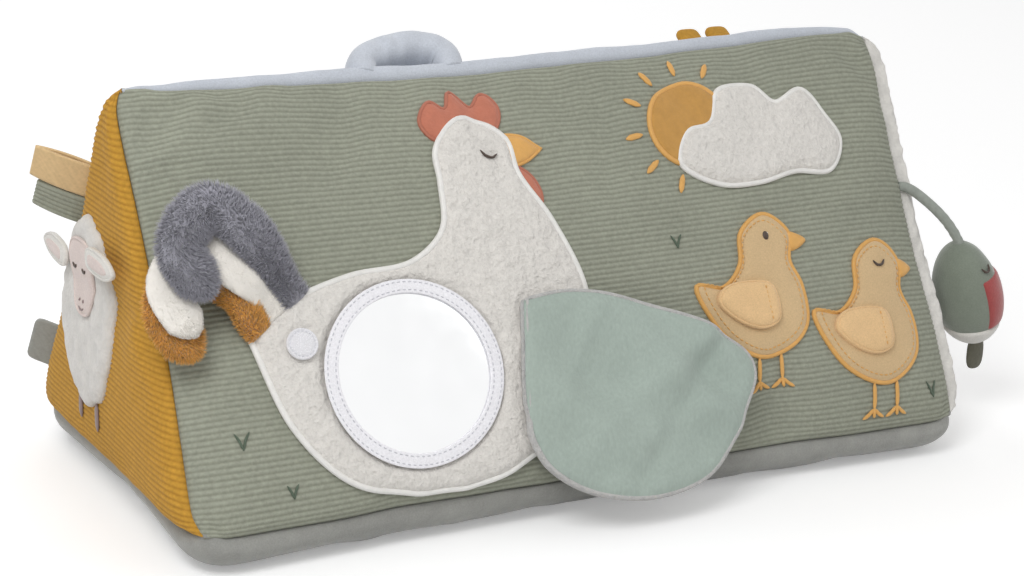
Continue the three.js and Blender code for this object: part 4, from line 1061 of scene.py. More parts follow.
def crinkle_film(name):
    """Thin clear-grey film full of small creases."""
    f = Finish(name, 0.25)
    f.paint((0.72, 0.74, 0.76), (f.grain(140, 4), 0.9, 1.08))
    return f.relief(f.cells(160), 0.0012, 0.8)


def foam(name):
    """Pale open-cell foam."""
    f = Finish(name, 0.95)
    cells = f.cells(900)
    # Painted shade: darker in the cell pits, where the bump is low.
    f.paint((0.8, 0.8, 0.78), (cells, 0.75, 1.05))
    return f.relief(cells, 0.0006, 0.8)


# Outlines and places in millimetres on the panels

HEN = [(29, 78), (48, 89), (76, 97), (104, 100), (120, 112), (124, 132), (126, 148), (142, 160), (158, 149),
       (160, 132), (170, 112), (179, 84), (176, 52), (158, 24), (128, 8), (94, 5), (62, 14), (41, 38)]
HEN_EYE = [(144, 144), (146, 141.4), (149, 140.8), (152, 142.6)]
COMB = [(126, 152), (122, 160), (128, 168), (134, 164), (139, 173), (147, 166), (153, 171), (159, 163), (156, 154),
        (141, 148)]
BEAK = [(174, 143), (164, 149), (150, 150), (150, 136), (164, 137)]
WATTLE = [(158, 136), (166, 131), (169, 122), (165, 114), (158, 118), (154, 128)]
FLAP = [(0.6, 26.5), (20, 31), (39, 30.5), (58, 26.5), (77, 20.5), (91, 14), (101, 7.5), (103.5, 1), (101, -10),
        (93, -28), (79, -44), (52, -53), (27, -51), (8, -40), (0.6, -22)]
CHICK = [(-27, 8), (-17, -17), (3, -27), (22, -16), (25, 2), (22, 14), (25, 26), (14, 36), (1, 29), (-3, 15),
         (-14, 6)]
CHICK_BEAK = [(24, 27), (33, 22), (24, 18)]
CHICK_EYE = [(9, 26.5), (11, 24.4), (13.5, 24.4), (15.5, 26.5)]
WING = [(0, 0.36), (-0.4, 0.5), (-0.85, 0.42), (-1, 0.15), (-0.7, -0.3), (-0.3, -0.5), (0, -0.36)]
WING_SIZE = (27, 20)
CLOUD = [(-42, -8), (-36, 5), (-24, 8), (-16, 22), (2, 24), (12, 14), (26, 18), (35, 6), (41, -6), (33, -19),
         (14, -18), (-6, -21), (-26, -19)]
FACE = [(-11, 12), (0, 15), (11, 12), (12, 0), (7, -14), (0, -17), (-7, -14), (-12, 0)]
EAR = [(-0.06, 0.3), (0.4, 0.5), (0.8, 0.36), (1, 0.02), (0.78, -0.32), (0.4, -0.46), (-0.06, -0.3)]
EAR_SIZE = (27, 9.8)
LABEL_SEAM = [(1.6, -10.6), (9.8, -10.6), (12.4, -8.6), (12.4, 8.6), (9.8, 10.6), (1.6, 10.6)]
CUT_LENGTH = 0.355
MIRROR_AT, DOT_AT, FLAP_AT = (95, 54), (49, 71), (141, 50)
CLOUD_AT, SUN_AT, SHEEP_AT = (281, 137), (247, 146), (-15, 79)
CHICKS = {"chick_a": (260, 66), "chick_b": (315, 48)}
SUN_RAYS = (58, 90, 122, 154, 186, 218, 250)
GRASS = ((20, 33, 7), (208, 20, 6.5), (342, 12, 7), (229, 92, 6), (37, 12, 5.5))
BIRD_AT = np.array([0.208, -0.050, 0.060])
BIRD_LEAN = math.radians(16)
BIRD_HALF = (0.0145, 0.0175, 0.025)
PATCH_BACK = -0.0003


def shifted(points, about):
    """Outline points moved about a centre."""
    return [(a + about[0], b + about[1]) for a, b in points]


def scaled(points, wide, tall):
    """Outline points made wider and taller."""
    return [(wide * a, tall * b) for a, b in points]


# Pieces


def sewn_panel(name, surface, p, q, lift, tone, material, node, slot):
    """Cover panel as a closed sheet: an outer side raised by a lift and an inner one, both falling into the seams."""
    edge = surface.edges(p, q)
    outer = surface.point(p, q, lift + seam_sink(edge))
    outer[..., 2] = np.maximum(outer[..., 2], 0.0)
    inner = surface.point(p, q, -cover().fabric + seam_sink(edge, 0.0002))
    if surface.outward < 0:
        outer, inner, tone = outer[::-1], inner[::-1], tone[::-1]
    form = Form()
    shell(form, outer, inner, tone)
    form.make(name, [material], node, slot, merge=surface.name in ENDS, fill=0.85)


def ribbed_cover(name, which, columns, *rest):
    """Corduroy panel: rows of ribs stacked across the panel, each rib a rounded ridge between two grooves."""
    z, surface = cover(), panel(which)
    ribs = int(round(surface.tall / z.rib_pitch))
    rows = np.append(((np.arange(ribs)[:, None] + np.array([0.0, 0.25, 0.5, 0.75])) / ribs).ravel(), 1.0)
    q, p = np.meshgrid(rows, crowded(columns, 0.5), indexing="ij")
    # The tone is the rib height, and it also places the painted groove shade.
    tone = np.repeat(np.append(np.tile([0.0, 0.55, 1.0, 0.55], ribs), 0.0)[:, None], columns, 1)
    flat = np.stack([p * surface.wide, q * surface.tall, p * 0], -1)
    wobble = 0.85 + 0.15 * noise(flat, (0.012, 0.0023, 1), 5)
    lift = tone * z.rib_depth * smooth(surface.edges(p, q) / 0.002) * wobble
    sewn_panel(name, surface, p, q, lift, tone, *rest)


def nap_cover(name, which, rows, columns, knots, *rest):
    """Velour or fleece panel: a smooth sheet or, for curly fleece, one with small knots of a height."""
    surface = panel(which)
    q, p = np.meshgrid(crowded(rows, 0.4), crowded(columns, 0.4), indexing="ij")
    narrow = (1 - q) if which in ENDS else 1
    flat = np.stack([p * surface.wide * narrow, q * surface.tall, p * 0], -1)
    knot = 0.6 * noise(flat, 0.0034, 61) + 0.4 * noise(flat, 0.0019, 62)
    lift = knots * (3 + signed_power(knot, 0.7)) * smooth(surface.edges(p, q) / 0.004)
    # For the teddy the tone follows the knot height and gives painted shade between the knots.
    sewn_panel(name, surface, p, q, lift, 0.5 + 0.5 * np.clip(knot * 1.4, -1, 1), *rest)


def wadding():
    """Stuffing core: the section loop of the cover drawn in by a few hundredths, carried from end to end and closed."""
    t = np.linspace(0, 1, 25)[:-1][None]
    u = crowded(44, 0.6)[:, None]
    loop = np.concatenate([long_face(-1, u, t), long_face(1, u, 1 - t), base_face(u, 1 - t)], axis=1)
    middle = np.array([0, 0, section()[2] + 0.05])
    loop = middle + (loop - middle) * np.array([0.955, 0.93, 0.92])
    loop = loop + noise(loop, 0.02, 71)[..., None] * 0.0008
    form = Form()
    capped(form, loop, loop[[0, -1]].mean(1))
    fibre = teddy("wadding fibre", (0.86, 0.86, 0.84))
    form.make("stuffing", [fibre], "stuffing_core", "filling", fill=0.9)


class TRIANGLE_OT_cover(bpy.types.Operator):
    """Sew the five panels of the cover and fill them"""

    bl_idname = "triangle.cover"
    bl_label = "Cover and stuffing"

    def execute(self, context):
        c = colours()
        sew_and_fill()
        sage = corduroy("sage corduroy", c.sage, c.sage_groove_shade)
        ochre = corduroy("ochre corduroy", c.ochre, c.ochre_groove_shade)
        white, blue = teddy("white teddy", c.teddy), velour("blue velour", c.blue)
        grey = velour("grey velour", c.grey, 0.24)
        ribbed_cover("front_cover", "front", 100, sage, "front_panel", "corduroy_sage")
        ribbed_cover("left_cover", "left", 64, ochre, "left_end_panel", "corduroy_ochre")
        nap_cover("right_cover", "right", 210, 210, 0.0007, white, "right_end_panel", "fleece_white")
        nap_cover("rear_cover", "rear", 90, 150, 0.0, blue, "rear_panel", "velour_blue")
        nap_cover("base_cover", "base", 110, 170, 0.0, grey, "base_panel", "velour_grey")
        wadding()
        return {"FINISHED"}


def applique(loop, rise, step, edge):
    """New form of a patch padded by low, rise and reach, with a satin edge of a width, height and lift."""
    form = Form()
    patch(form, on_front, loop, pillow(*rise), PATCH_BACK, step)
    edging(form, on_front, loop, *edge, 1)
    return form


class TRIANGLE_OT_hen(bpy.types.Operator):
    """Sew the hen patch with its comb, wattle and beak on the front"""

    bl_idname = "triangle.hen"
    bl_label = "Hen patch"

    def execute(self, context):
        c = colours()
        outline = ring_of(HEN, 0.0022, corner=True)
        flat_low, centre = 0.0007, np.array(MIRROR_AT) * MM

        def height(depth, flat):
            """Padded fleece with small nubs that is pressed flat under the mirror."""
            full = 0.0004 + 0.0030 * round_edge(depth, 0.005)
            press = smooth((np.linalg.norm(flat - centre, axis=1) - 0.037) / 0.006)
            nubs = 0.00025 * noise(level(flat), 0.006, 81) + 0.0004 * press * noise(level(flat), 0.0034, 82)
            padded = flat_low + (full - flat_low) * press + nubs * smooth(depth / 0.004)
            return np.where(depth < 1e-7, 0.0001, padded)

        form = Form()
        patch(form, on_front, outline, height, -0.0004, 0.0013)
        edging(form, on_front, outline, 0.0026, 0.0013, 0.0014, 1)
        stroke(form, on_front, HEN_EYE, 0.0011, 0.0038, 2)
        threads = [thread("white satin edge", c.thread_white), thread("dark thread", c.thread_dark)]
        fleece = heathered("heathered fleece", c.fleece, c.fleck)
        form.make("hen_fleece", [fleece, *threads], "hen_patch", "fleece_white", merge=True)
        coral = [felt("coral felt", c.coral), thread("coral thread", [v * 0.86 for v in c.coral])]
        amber = [felt("amber felt", c.amber), thread("amber thread", c.amber)]
        low_pad, narrow = (0.0002, 0.0019, 0.003), (0.0017, 0.0009, 0.0006)
        comb, wattle = (applique(ring_of(points, 0.0013), low_pad, 0.0016, narrow) for points in (COMB, WATTLE))
        comb.make("hen_comb_felt", coral, "hen_comb", "felt_coral", merge=True)
        wattle.make("hen_wattle_felt", coral, "hen_wattle", "felt_coral", merge=True)
        loop = ring_of(BEAK, 0.0012, corner=True)
        beak = applique(loop, (0.0003, 0.0020, 0.003), 0.0015, (0.0016, 0.0009, 0.0006))
        beak.make("hen_beak_felt", amber, "hen_beak", "felt_yellow", merge=True)
        return {"FINISHED"}


def disc(about, radius, low, high, rows, columns, edge=0.0006, groove=None):
    """New form of a round plate on the front: rings between two lifts, a rounded rim, and a groove at a radius."""
    r = radius * np.sin(np.linspace(0, math.pi / 2, rows))
    round_in = np.sqrt(np.clip(1 - (np.clip(r - radius + edge, 0, edge) / edge) ** 2, 0, 1))
    middle, half = (low + high) / 2, (high - low) / 2
    top = middle + half * round_in
    if groove:
        top = top - 0.00035 * np.exp(-(((r - groove) / 0.0004) ** 2))
    ring = np.concatenate([r, r[-2::-1]])[:, None]
    lift = np.concatenate([top, (middle - half * round_in)[-2::-1]])[:, None]
    a = about[0] * MM + ring * np.cos(turns(columns))
    b = about[1] * MM + ring * np.sin(turns(columns))
    form = Form()
    skin = on_front(a, b, np.broadcast_to(lift, a.shape))
    form.add(skin, grid_faces(len(ring), columns, wrap_columns=True)[:, ::-1])
    return form


class TRIANGLE_OT_mirror(bpy.types.Operator):
    """Set the mirror, its foam, its stitched ring and the closure dot"""

    bl_idname = "triangle.mirror"
    bl_label = "Mirror and dot"

    def execute(self, context):
        c, z = colours(), trim()
        form = disc(MIRROR_AT, z.mirror_radius, 0.0005, 0.0015, 12, 48)
        form.make("mirror_foam", [foam("backing foam")], "mirror_backing", "foam", merge=True)
        form, film = disc(MIRROR_AT, z.mirror_radius, 0.0018, 0.0026, 26, 96), mirror_film("mirror film")
        form.make("mirror_face", [film], "mirror_disc", "mirror_film", merge=True)
        form, around, across, seam = Form(), 220, 20, 0.0017
        turn, profile = turns(around)[:, None], turns(across)[None]
        middle, half = (z.ring_inner + z.ring_outer) / 2, (z.ring_outer - z.ring_inner) / 2
        gather = 1 + 0.05 * np.sin(46 * turn) * np.maximum(np.sin(profile), 0)
        r = middle + half * signed_power(np.cos(profile), 0.6)
        groove = np.exp(-(((np.abs(r - middle) - seam) / 0.0006) ** 2)) * (np.sin(profile) > 0)
        lift = 0.0034 + 0.0007 * signed_power(np.sin(profile), 0.6) * gather - 0.00028 * groove
        a, b = MIRROR_AT[0] * MM + r * np.cos(turn), MIRROR_AT[1] * MM + r * np.sin(turn)
        form.add(on_front(a, b, lift), grid_faces(around, across, True, True))
        for radius in (middle - seam, middle + seam):
            loop = oval(MIRROR_AT, radius, radius, 0.0012)
            stitches(form, on_front, loop, True, 0.0024, 0.0016, 0.00055, 0.0039, 1)
        cloth = [velour("ring cloth", c.tape, 0.05, 0.2), thread("ring stitches", (0.62, 0.62, 0.66))]
        form.make("mirror_ring_cloth", cloth, "mirror_ring", "ring_cloth")
        seam = 0.0051
        form = disc(DOT_AT, z.dot_radius, 0.0040, 0.0056, 16, 48, 0.0005, groove=seam)
        loop = oval(DOT_AT, seam, seam, 0.0006)
        stitches(form, on_front, loop, True, 0.0016, 0.0011, 0.0004, 0.0055, 1)
        tape = [hook_tape("hook tape", c.tape), thread("dot stitches", (0.68, 0.68, 0.72))]
        form.make("closure_dot_tape", tape, "closure_dot", "hook_tape", merge=True)
        return {"FINISHED"}


FLAP_LIFT, FLAP_LEAN, FLAP_RISE = 0.00725, math.radians(-9.5), math.tan(math.radians(2.5))
# Place, angle, width and height of each soft crease
FLAP_CREASES = ((50, -12, 40, 6, 2.4), (76, -6, 56, 5, -1.8), (38, -34, 22, 7, 2.0), (24, 6, 66, 5, 1.6))


def flap_place():
    """Working frame of the flap: flat on its hinge, rising slowly, with one fold ridge and a few soft creases."""
    hinge = hinge_frame(on_front, FLAP_AT, FLAP_LIFT, FLAP_LEAN)

    def place(x, y, lift=0.0):
        """Point of the flap at x and y, raised by the folds and a lift."""
        across = 0.9 * (x - 0.062) - 0.44 * (y + 0.010)
        turned = np.stack([0.62 * x + 0.78 * y, 0.78 * x - 0.62 * y, x * 0], -1)
        soft = 0.0030 * noise(turned, (0.013, 0.060, 1), 91) + 0.0010 * noise(turned, (0.007, 0.03, 1), 94)
        for a, b, angle, wide, high in FLAP_CREASES:
            angle = math.radians(angle)
            reach = (y - b * MM) * math.cos(angle) - (x - a * MM) * math.sin(angle)
            soft = soft + high * MM * np.exp(-((reach / (wide * MM)) ** 2))
        soft = soft * smooth((1.12 - np.hypot((x - 0.052) / 0.056, (y + 0.010) / 0.045)) / 0.42)
        pucker = 0.0006 * noise(np.stack([x * 0, y, x], -1), (1, 0.005, 0.02), 93)
        near = np.exp(-np.maximum(x, 0) / 0.010) * pucker
        rise = x * FLAP_RISE + 0.0022 * np.clip(x / 0.04, 0, 1) * np.exp(-((across / 0.013) ** 2))
        return hinge(x, y, rise + (soft * smooth(x / 0.03) + near) + lift)

    return place


class TRIANGLE_OT_flap(bpy.types.Operator):
    """Make the fold-over wing flap of lining, film and fleece"""

    bl_idname = "triangle.flap"
    bl_label = "Wing flap"

    def execute(self, context):
        c = colours()
        place = flap_place()
        outline = ring_of(FLAP, 0.0022, corner=True)

        def lined(depth, flat):
            """Height of the lining, puckered along its sewn edge."""
            gather = 0.0005 * noise(level(flat), 0.005, 92) * np.exp(-depth / 0.007)
            return 0.0013 + 0.0011 * smooth(depth / 0.003) + gather * smooth(depth / 0.004)

        form, jersey_cloth = Form(), jersey("mint jersey", c.mint)
        patch(form, place, outline * 0.993 + [0.0005, -0.0001], lined, 0.0012, 0.0020)
        lining = form.make("flap_lining_jersey", [jersey_cloth], "flap_lining", "jersey_mint", body="wing_flap",
                           merge=True)
        form, film = Form(), crinkle_film("crinkle film")
        patch(form, place, outline * 0.985 + [0.0006, -0.0001], lambda d, f: 0.0010 + 0 * d, 0.0006, 0.004)
        form.make("flap_film", [film], "flap_crinkle_film", "crinkle_film", body="wing_flap", merge=True)
        form, fleece = Form(), heathered("flap fleece", c.heather, c.fleck, 0.5)
        patch(form, place, outline, lambda d, f: 0.0002 + 0.0001 * smooth(d / 0.002), -0.0023, 0.003)
        edge = surface_frames(place, outline[outline[:, 0] > 0.0012], -0.0004, closed=True)
        tube(form, *edge, 0.0011, 0.0020, 10, True, 0, 0.8)
        form.make("flap_fleece_cloth", [fleece], "flap_fleece", "fleece_white", body="wing_flap", merge=True)
        return {"FINISHED"}


def over_front(a, b, high):
    """Point over the flat plane of the front seams: a from the left, b up the slope, high off it, in millimetres."""
    z = cover()
    corner_at = np.array([-CUT_LENGTH / 2, -z.side / 2, z.seam_lift])
    a, b, high = (np.asarray(v, float)[..., None] * MM for v in (a, b, high))
    return corner_at + a * [1, 0, 0] + b * SLOPE + high * SLOPE_OUT


# Root and bend in millimetres, share of the longest pile, mottle, comb and stand of each feather, lowest first
PLUMES = {
    "ochre": ((32, 82), (14, 88), 0.60, 0.22, 0.9, 0.42),
    "cream": ((40, 88), (14, 95), 0.20, 0.02, 1.4, 0.22),
    "grey": ((49.5, 93), (20, 109), 0.70, 0.10, 0.5, 0.36),
}
PLUME_LOW, PLUME_STEP = 10.5, 5.5
PLUME_ROOT = 0.0100
STRAND_WIDTH = 0.00017


class TRIANGLE_OT_plumes(bpy.types.Operator):
    """Pad the three loose feathers and give each its pile"""

    bl_idname = "triangle.plumes"
    bl_label = "Feathers"

    def execute(self, context):
        c, z = colours(), trim()
        for number, (kind, (root, bend, share, mottle, comb, stand)) in enumerate(PLUMES.items()):
            name, slot = "plume_" + kind, "plush_" + kind
            low, high = PLUME_LOW, PLUME_LOW + PLUME_STEP * number
            (a, b), (p, q) = root, bend
            route = np.array([(a + 4, b - 6, low - 2.3), (a, b, low - 0.8), (p + 15, q + 3, high),
                              (p, q + 16, high), (p - 15, q + 2, high), (p - 7, q - 18, high)])
            path, t = spline(over_front(*route.T), 70), np.linspace(0, 1, 70)
            blunt = np.sqrt(np.clip(12 * (1 - t), 0.004, 1))
            wide = (PLUME_ROOT + (z.plume_width * 0.9 - PLUME_ROOT) * smooth((t - 0.04) / 0.36)) / 2 * blunt
            thick = z.plume_thick / 2 * (0.3 + 0.7 * smooth(t / 0.22)) * blunt
            ahead = unit(np.gradient(path, axis=0))
            side = unit(np.cross(ahead, SLOPE_OUT))
            out = np.cross(side, ahead)
            form = Form()
            tube(form, path, side, out, wide, thick, 28, power=0.9)
            rng = np.random.default_rng(200 + number)
            at = rng.uniform(0.0, 1.0, z.strands) ** 0.9
            turn = rng.uniform(0, FULL, z.strands)
            middle, s, o, f = (np.stack([np.interp(at, t, v[:, i]) for i in range(3)], -1)
                               for v in (path, side, out, ahead))
            s, o, f = unit(s), unit(o), unit(f)
            w, h = np.interp(at, t, wide)[:, None], np.interp(at, t, thick)[:, None]
            cs, sn = np.cos(turn)[:, None], np.sin(turn)[:, None]
            roots = middle + s * w * cs * 0.96 + o * h * sn * 0.94
            normal = unit(s * cs / w + o * sn / h)
            rounding = smooth((at[:, None] - 0.9) / 0.1)
            lean = unit(normal * stand + f * (0.45 * comb + 0.6 * rounding) + s * cs * 0.5)
            tousle = 0.20 * noise(roots, 0.009, 300 + number)[:, None] * s
            lean = unit(lean + tousle + 0.045 * rng.normal(size=(z.strands, 3)))
            pile(form, roots, lean, z.pile * share, STRAND_WIDTH, 400 + number)
            cloth = plush(name + " pile", getattr(c, slot), mottle)
            form.make(name + "_plush", [cloth], name, slot, body=name, fill=0.7)
        return {"FINISHED"}


class TRIANGLE_OT_chicks(bpy.types.Operator):
    """Sew the two chicks with their loose wings"""

    bl_idname = "triangle.chicks"
    bl_label = "Chicks"

    def execute(self, context):
        c = colours()
        straw, peach = velour("straw velour", c.straw, 0.07, 0.3), velour("peach cloth", c.peach, 0.07, 0.25)
        gold, dark = thread("gold thread", c.amber), thread("brown thread", c.thread_dark)
        white = thread("white thread", c.thread_white)
        seam_at = -0.004

        def padded(depth, flat):
            """Height of a wing: a pillow drawn in along its seam."""
            seam = 0.0006 * np.exp(-(((flat[:, 0] - seam_at) / 0.0007) ** 2)) * smooth(depth / 0.001)
            return 0.0004 + 0.0021 * round_edge(depth, 0.005) - seam

        for name, at in CHICKS.items():
            loop = ring_of(shifted(CHICK, at), 0.0016)
            form = applique(loop, (0.0002, 0.0026, 0.005), 0.002, (0.0021, 0.0010, 0.0008))
            inner = ring_of(shifted(shifted(scaled(CHICK, 0.88, 0.90), (-0.1, 0.4)), at), 0.0012)
            stitches(form, on_front, inner, True, 0.0025, 0.0019, 0.0006, 0.0026, 1)
            beak = ring_of(shifted(CHICK_BEAK, at), 0.0009)
            patch(form, on_front, beak, pillow(0.0006, 0.0016, 0.002), -0.0002, 0.0013, 1, (0.0005,))
            for leg in (-4, 8):
                foot = leg - 2
                stroke(form, on_front, shifted([(leg, -26), (leg - 1, -33), (foot, -38)], at), 0.0020, 0.0009, 1)
                for toe in (-6, 0, 5):
                    line = shifted([(foot, -37), (foot + toe * 0.5, -39.5), (foot + toe, -41)], at)
                    stroke(form, on_front, line, 0.0017, 0.0010, 1, count=8)
            if name == "chick_a":
                eye, glint = (at[0] + 12, at[1] + 26), (at[0] + 12.6, at[1] + 26.9)
                patch(form, on_front, oval(eye, 0.0016, 0.0021, 0.0007), pillow(0.0026, 0.0010, 0.0015),
                      0.002, 0.001, 2, (0.0004,))
                # The glint is a painted highlight: a small white thread patch on the eye.
                patch(form, on_front, oval(glint, 0.0005, 0.0005, 0.0003), pillow(0.0033, 0.0005, 0.0004),
                      0.003, 0.0006, 3, ())
            else:
                stroke(form, on_front, shifted(CHICK_EYE, at), 0.0012, 0.0031, 2)
            cloth = [straw, gold, dark, white]
            form.make(name + "_velour", cloth, name + "_body", "cloth_straw", merge=True)
            hinge = hinge_frame(on_front, (at[0] + 8, at[1] - 4), 0.0045)
            loop = ring_of(scaled(WING, *WING_SIZE), 0.0013)
            form, wing = Form(), name + "_wing"
            patch(form, hinge, loop, padded, -0.0014, 0.0014)
            edging(form, hinge, loop, 0.0014, 0.0014, -0.0003, 0, 8)
            line = np.stack([np.full(12, seam_at), np.linspace(-0.0078, 0.0078, 12)], -1)
            stitches(form, hinge, line, False, 0.0021, 0.0015, 0.0006, 0.0020, 1)
            form.make(wing + "_pad", [peach, gold], wing, "cloth_peach", body=wing, merge=True, fill=0.5)
        return {"FINISHED"}


class TRIANGLE_OT_sky(bpy.types.Operator):
    """Sew the sun, the cloud and the grass stitches"""

    bl_idname = "triangle.sky"
    bl_label = "Sun, cloud and grass"

    def execute(self, context):
        c = colours()
        form = applique(oval(SUN_AT, 0.019, 0.019, 0.0016), (0.0002, 0.0017, 0.003), 0.002, (0.0022, 0.0010, 0.0007))
        for angle in np.radians(SUN_RAYS):
            ray = shifted([(r * math.cos(angle), r * math.sin(angle)) for r in (23.5, 27.5, 32)], SUN_AT)
            stroke(form, on_front, ray, 0.0027, 0.0008, 1, taper=0.3)
        gold = [felt("gold felt", c.gold), thread("sun thread", c.amber)]
        form.make("sun_felt", gold, "sun_disc", "felt_amber", merge=True)
        loop = ring_of(shifted(CLOUD, CLOUD_AT), 0.0017)
        form = applique(loop, (0.0003, 0.0036, 0.005), 0.0022, (0.0026, 0.0012, 0.0010))
        fleece = [heathered("cloud fleece", c.fleece, c.fleck, 0.45), thread("cloud edge", c.thread_white)]
        form.make("cloud_fleece", fleece, "cloud_patch", "fleece_white", merge=True)
        form = Form()
        for a, b, tall in GRASS:
            for lean in (-0.40, 0.46):
                blade = [(a, b), (a + lean * tall * 0.4, b + tall * 0.55), (a + lean * tall, b + tall)]
                stroke(form, on_front, blade, 0.0011, 0.0006, 0, taper=0.3, height=0.0004)
        form.make("grass_stitches", [thread("green thread", c.thread_green)], None, "corduroy_sage")
        return {"FINISHED"}


class TRIANGLE_OT_sheep(bpy.types.Operator):
    """Sew the sheep on the left end with its face, ears and legs"""

    bl_idname = "triangle.sheep"
    bl_label = "Sheep"

    def execute(self, context):
        c = colours()
        wool, pink = teddy("sheep wool", c.wool), velour("pink cloth", c.pink, 0.05, 0.25)
        dark, mauve = thread("eye thread", c.thread_dark), thread("mauve thread", c.thread_mauve)
        a, b = SHEEP_AT

        def curl(flat):
            """Small curls of the wool."""
            return noise(level(flat), 0.0042, 101)

        def fluff(depth, flat):
            """Rounded wool with its curls."""
            wool_high = 0.0003 + 0.0033 * round_edge(depth, 0.006) + 0.0005 * curl(flat) * smooth(depth / 0.003)
            return np.where(depth < 1e-7, 0.0002, wool_high)

        form = Form()
        loop = oval(SHEEP_AT, 0.026, 0.039, 0.0014, 10, 0.06)
        # The tone follows the curls and gives painted shade between them.
        patch(form, on_left, loop, fluff, PATCH_BACK, 0.0017, tone=lambda f: 0.55 + 0.3 * curl(f))
        for leg in (-9, 9):
            line = shifted([(leg, -37), (leg * 1.05, -43), (leg * 1.1, -49)], SHEEP_AT)
            stroke(form, on_left, line, 0.0036, 0.0008, 1)
        form.make("sheep_wool", [wool, mauve], "sheep_patch", "fleece_white", merge=True)
        form = Form()
        loop = ring_of(shifted(FACE, (a, b + 16)), 0.0012)
        patch(form, on_left, loop, pillow(0.0040, 0.0014, 0.004), 0.0024, 0.0015)
        edging(form, on_left, loop, 0.0013, 0.0008, 0.0043, 0)
        for side in (-1, 1):
            eye = shifted([(side * 3.2, 20), (side * 5, 18.6), (side * 7, 20)], SHEEP_AT)
            stroke(form, on_left, eye, 0.0012, 0.0055, 1, count=10)
            nostril = shifted([(side * 1.6, 6), (side * 2.2, 4.6)], SHEEP_AT)
            stroke(form, on_left, nostril, 0.0011, 0.0054, 2, count=6)
        mouth = shifted([(-2.6, 2.4), (0, 1.2), (2.6, 2.4)], SHEEP_AT)
        stroke(form, on_left, mouth, 0.0009, 0.0052, 2, count=10)
        form.make("sheep_face_cloth", [pink, dark, mauve], "sheep_face", "cloth_pink", merge=True)
        white = velour("ear cloth", c.teddy, 0.05, 0.3)
        wide, tall = EAR_SIZE
        for name, up, side in (("sheep_ear_front", 12, 1), ("sheep_ear_rear", 4, -1)):
            hinge = hinge_frame(on_left, (a + side * 16, b + up + 16), 0.0064)
            loop = ring_of(scaled(EAR, side * wide, tall), 0.0011)
            inner = ring_of(shifted(scaled(EAR, side * wide * 0.76, tall * 0.6), (side * 2.7, 0)), 0.0010)
            form = Form()
            patch(form, hinge, loop, pillow(0.0001, 0.0012, 0.003), -0.0012, 0.0013)
            edging(form, hinge, loop, 0.0012, 0.0012, -0.0001, 0, 8)
            patch(form, hinge, inner, pillow(0.0011, 0.0005, 0.001), 0.0008, 0.0013, 1, (0.0004,))
            form.make(name + "_cloth", [white, pink], name, "fleece_white", body=name, merge=True,
                      bend=(hinge(0, 0), hinge(side * 0.007, 0)), fill=0.4)
        return {"FINISHED"}


def seam_tab_frame(rise, droop=0.0):
    """Working frame of a tab sewn into the rear left seam: right away from the cover, up along the seam."""
    t = rise * MM / cover().side
    up = unit(long_face(1, 0, t + 0.01) - long_face(1, 0, t - 0.01))
    away = np.array([-1, 0.9, -0.1])
    away = unit(away - up * np.dot(away, up))
    cs, sn = math.cos(droop), math.sin(droop)
    away, up = away * cs - up * sn, up * cs + away * sn
    return Local(long_face(1, 0, t) - away * 0.002, away, up, np.cross(away, up))


def strap_loop(place, length, width, gap, cloth, columns=16, ribs=0, rows=56):
    """New form of a folded ribbon: a band carried out from the seam, round a soft fold and back, its ends sewn shut."""
    sewn = 0.0006
    t = np.linspace(0, 1, rows)
    x = sewn + (length - sewn - cloth) * (1 - np.abs(2 * t - 1) ** 2.6)
    share = np.clip(x / length, 0, 1)
    z = (gap / 2 - cloth / 2) * np.cos(math.pi * t) * (0.55 + 0.75 * np.sin(math.pi * share))
    path = np.stack([x, z], -1)
    ahead = unit(np.gradient(path, axis=0))
    out = np.stack([-ahead[:, 1], ahead[:, 0]], -1)
    y = np.linspace(-0.5, 0.5, columns)[None] + 0 * x[:, None]
    rib = np.abs(np.sin(ribs * math.pi * (y + 0.5)))
    layers = []
    for off in (cloth / 2 + 0.0003 * rib**0.7, -cloth / 2):
        px, pz = (path[:, i : i + 1] + out[:, i : i + 1] * off + 0 * y for i in (0, 1))
        layers.append(place(px, y * width * (1 - 0.10 * share[:, None] ** 4), pz))
    form = Form()
    shell(form, *layers, rib)
    return form


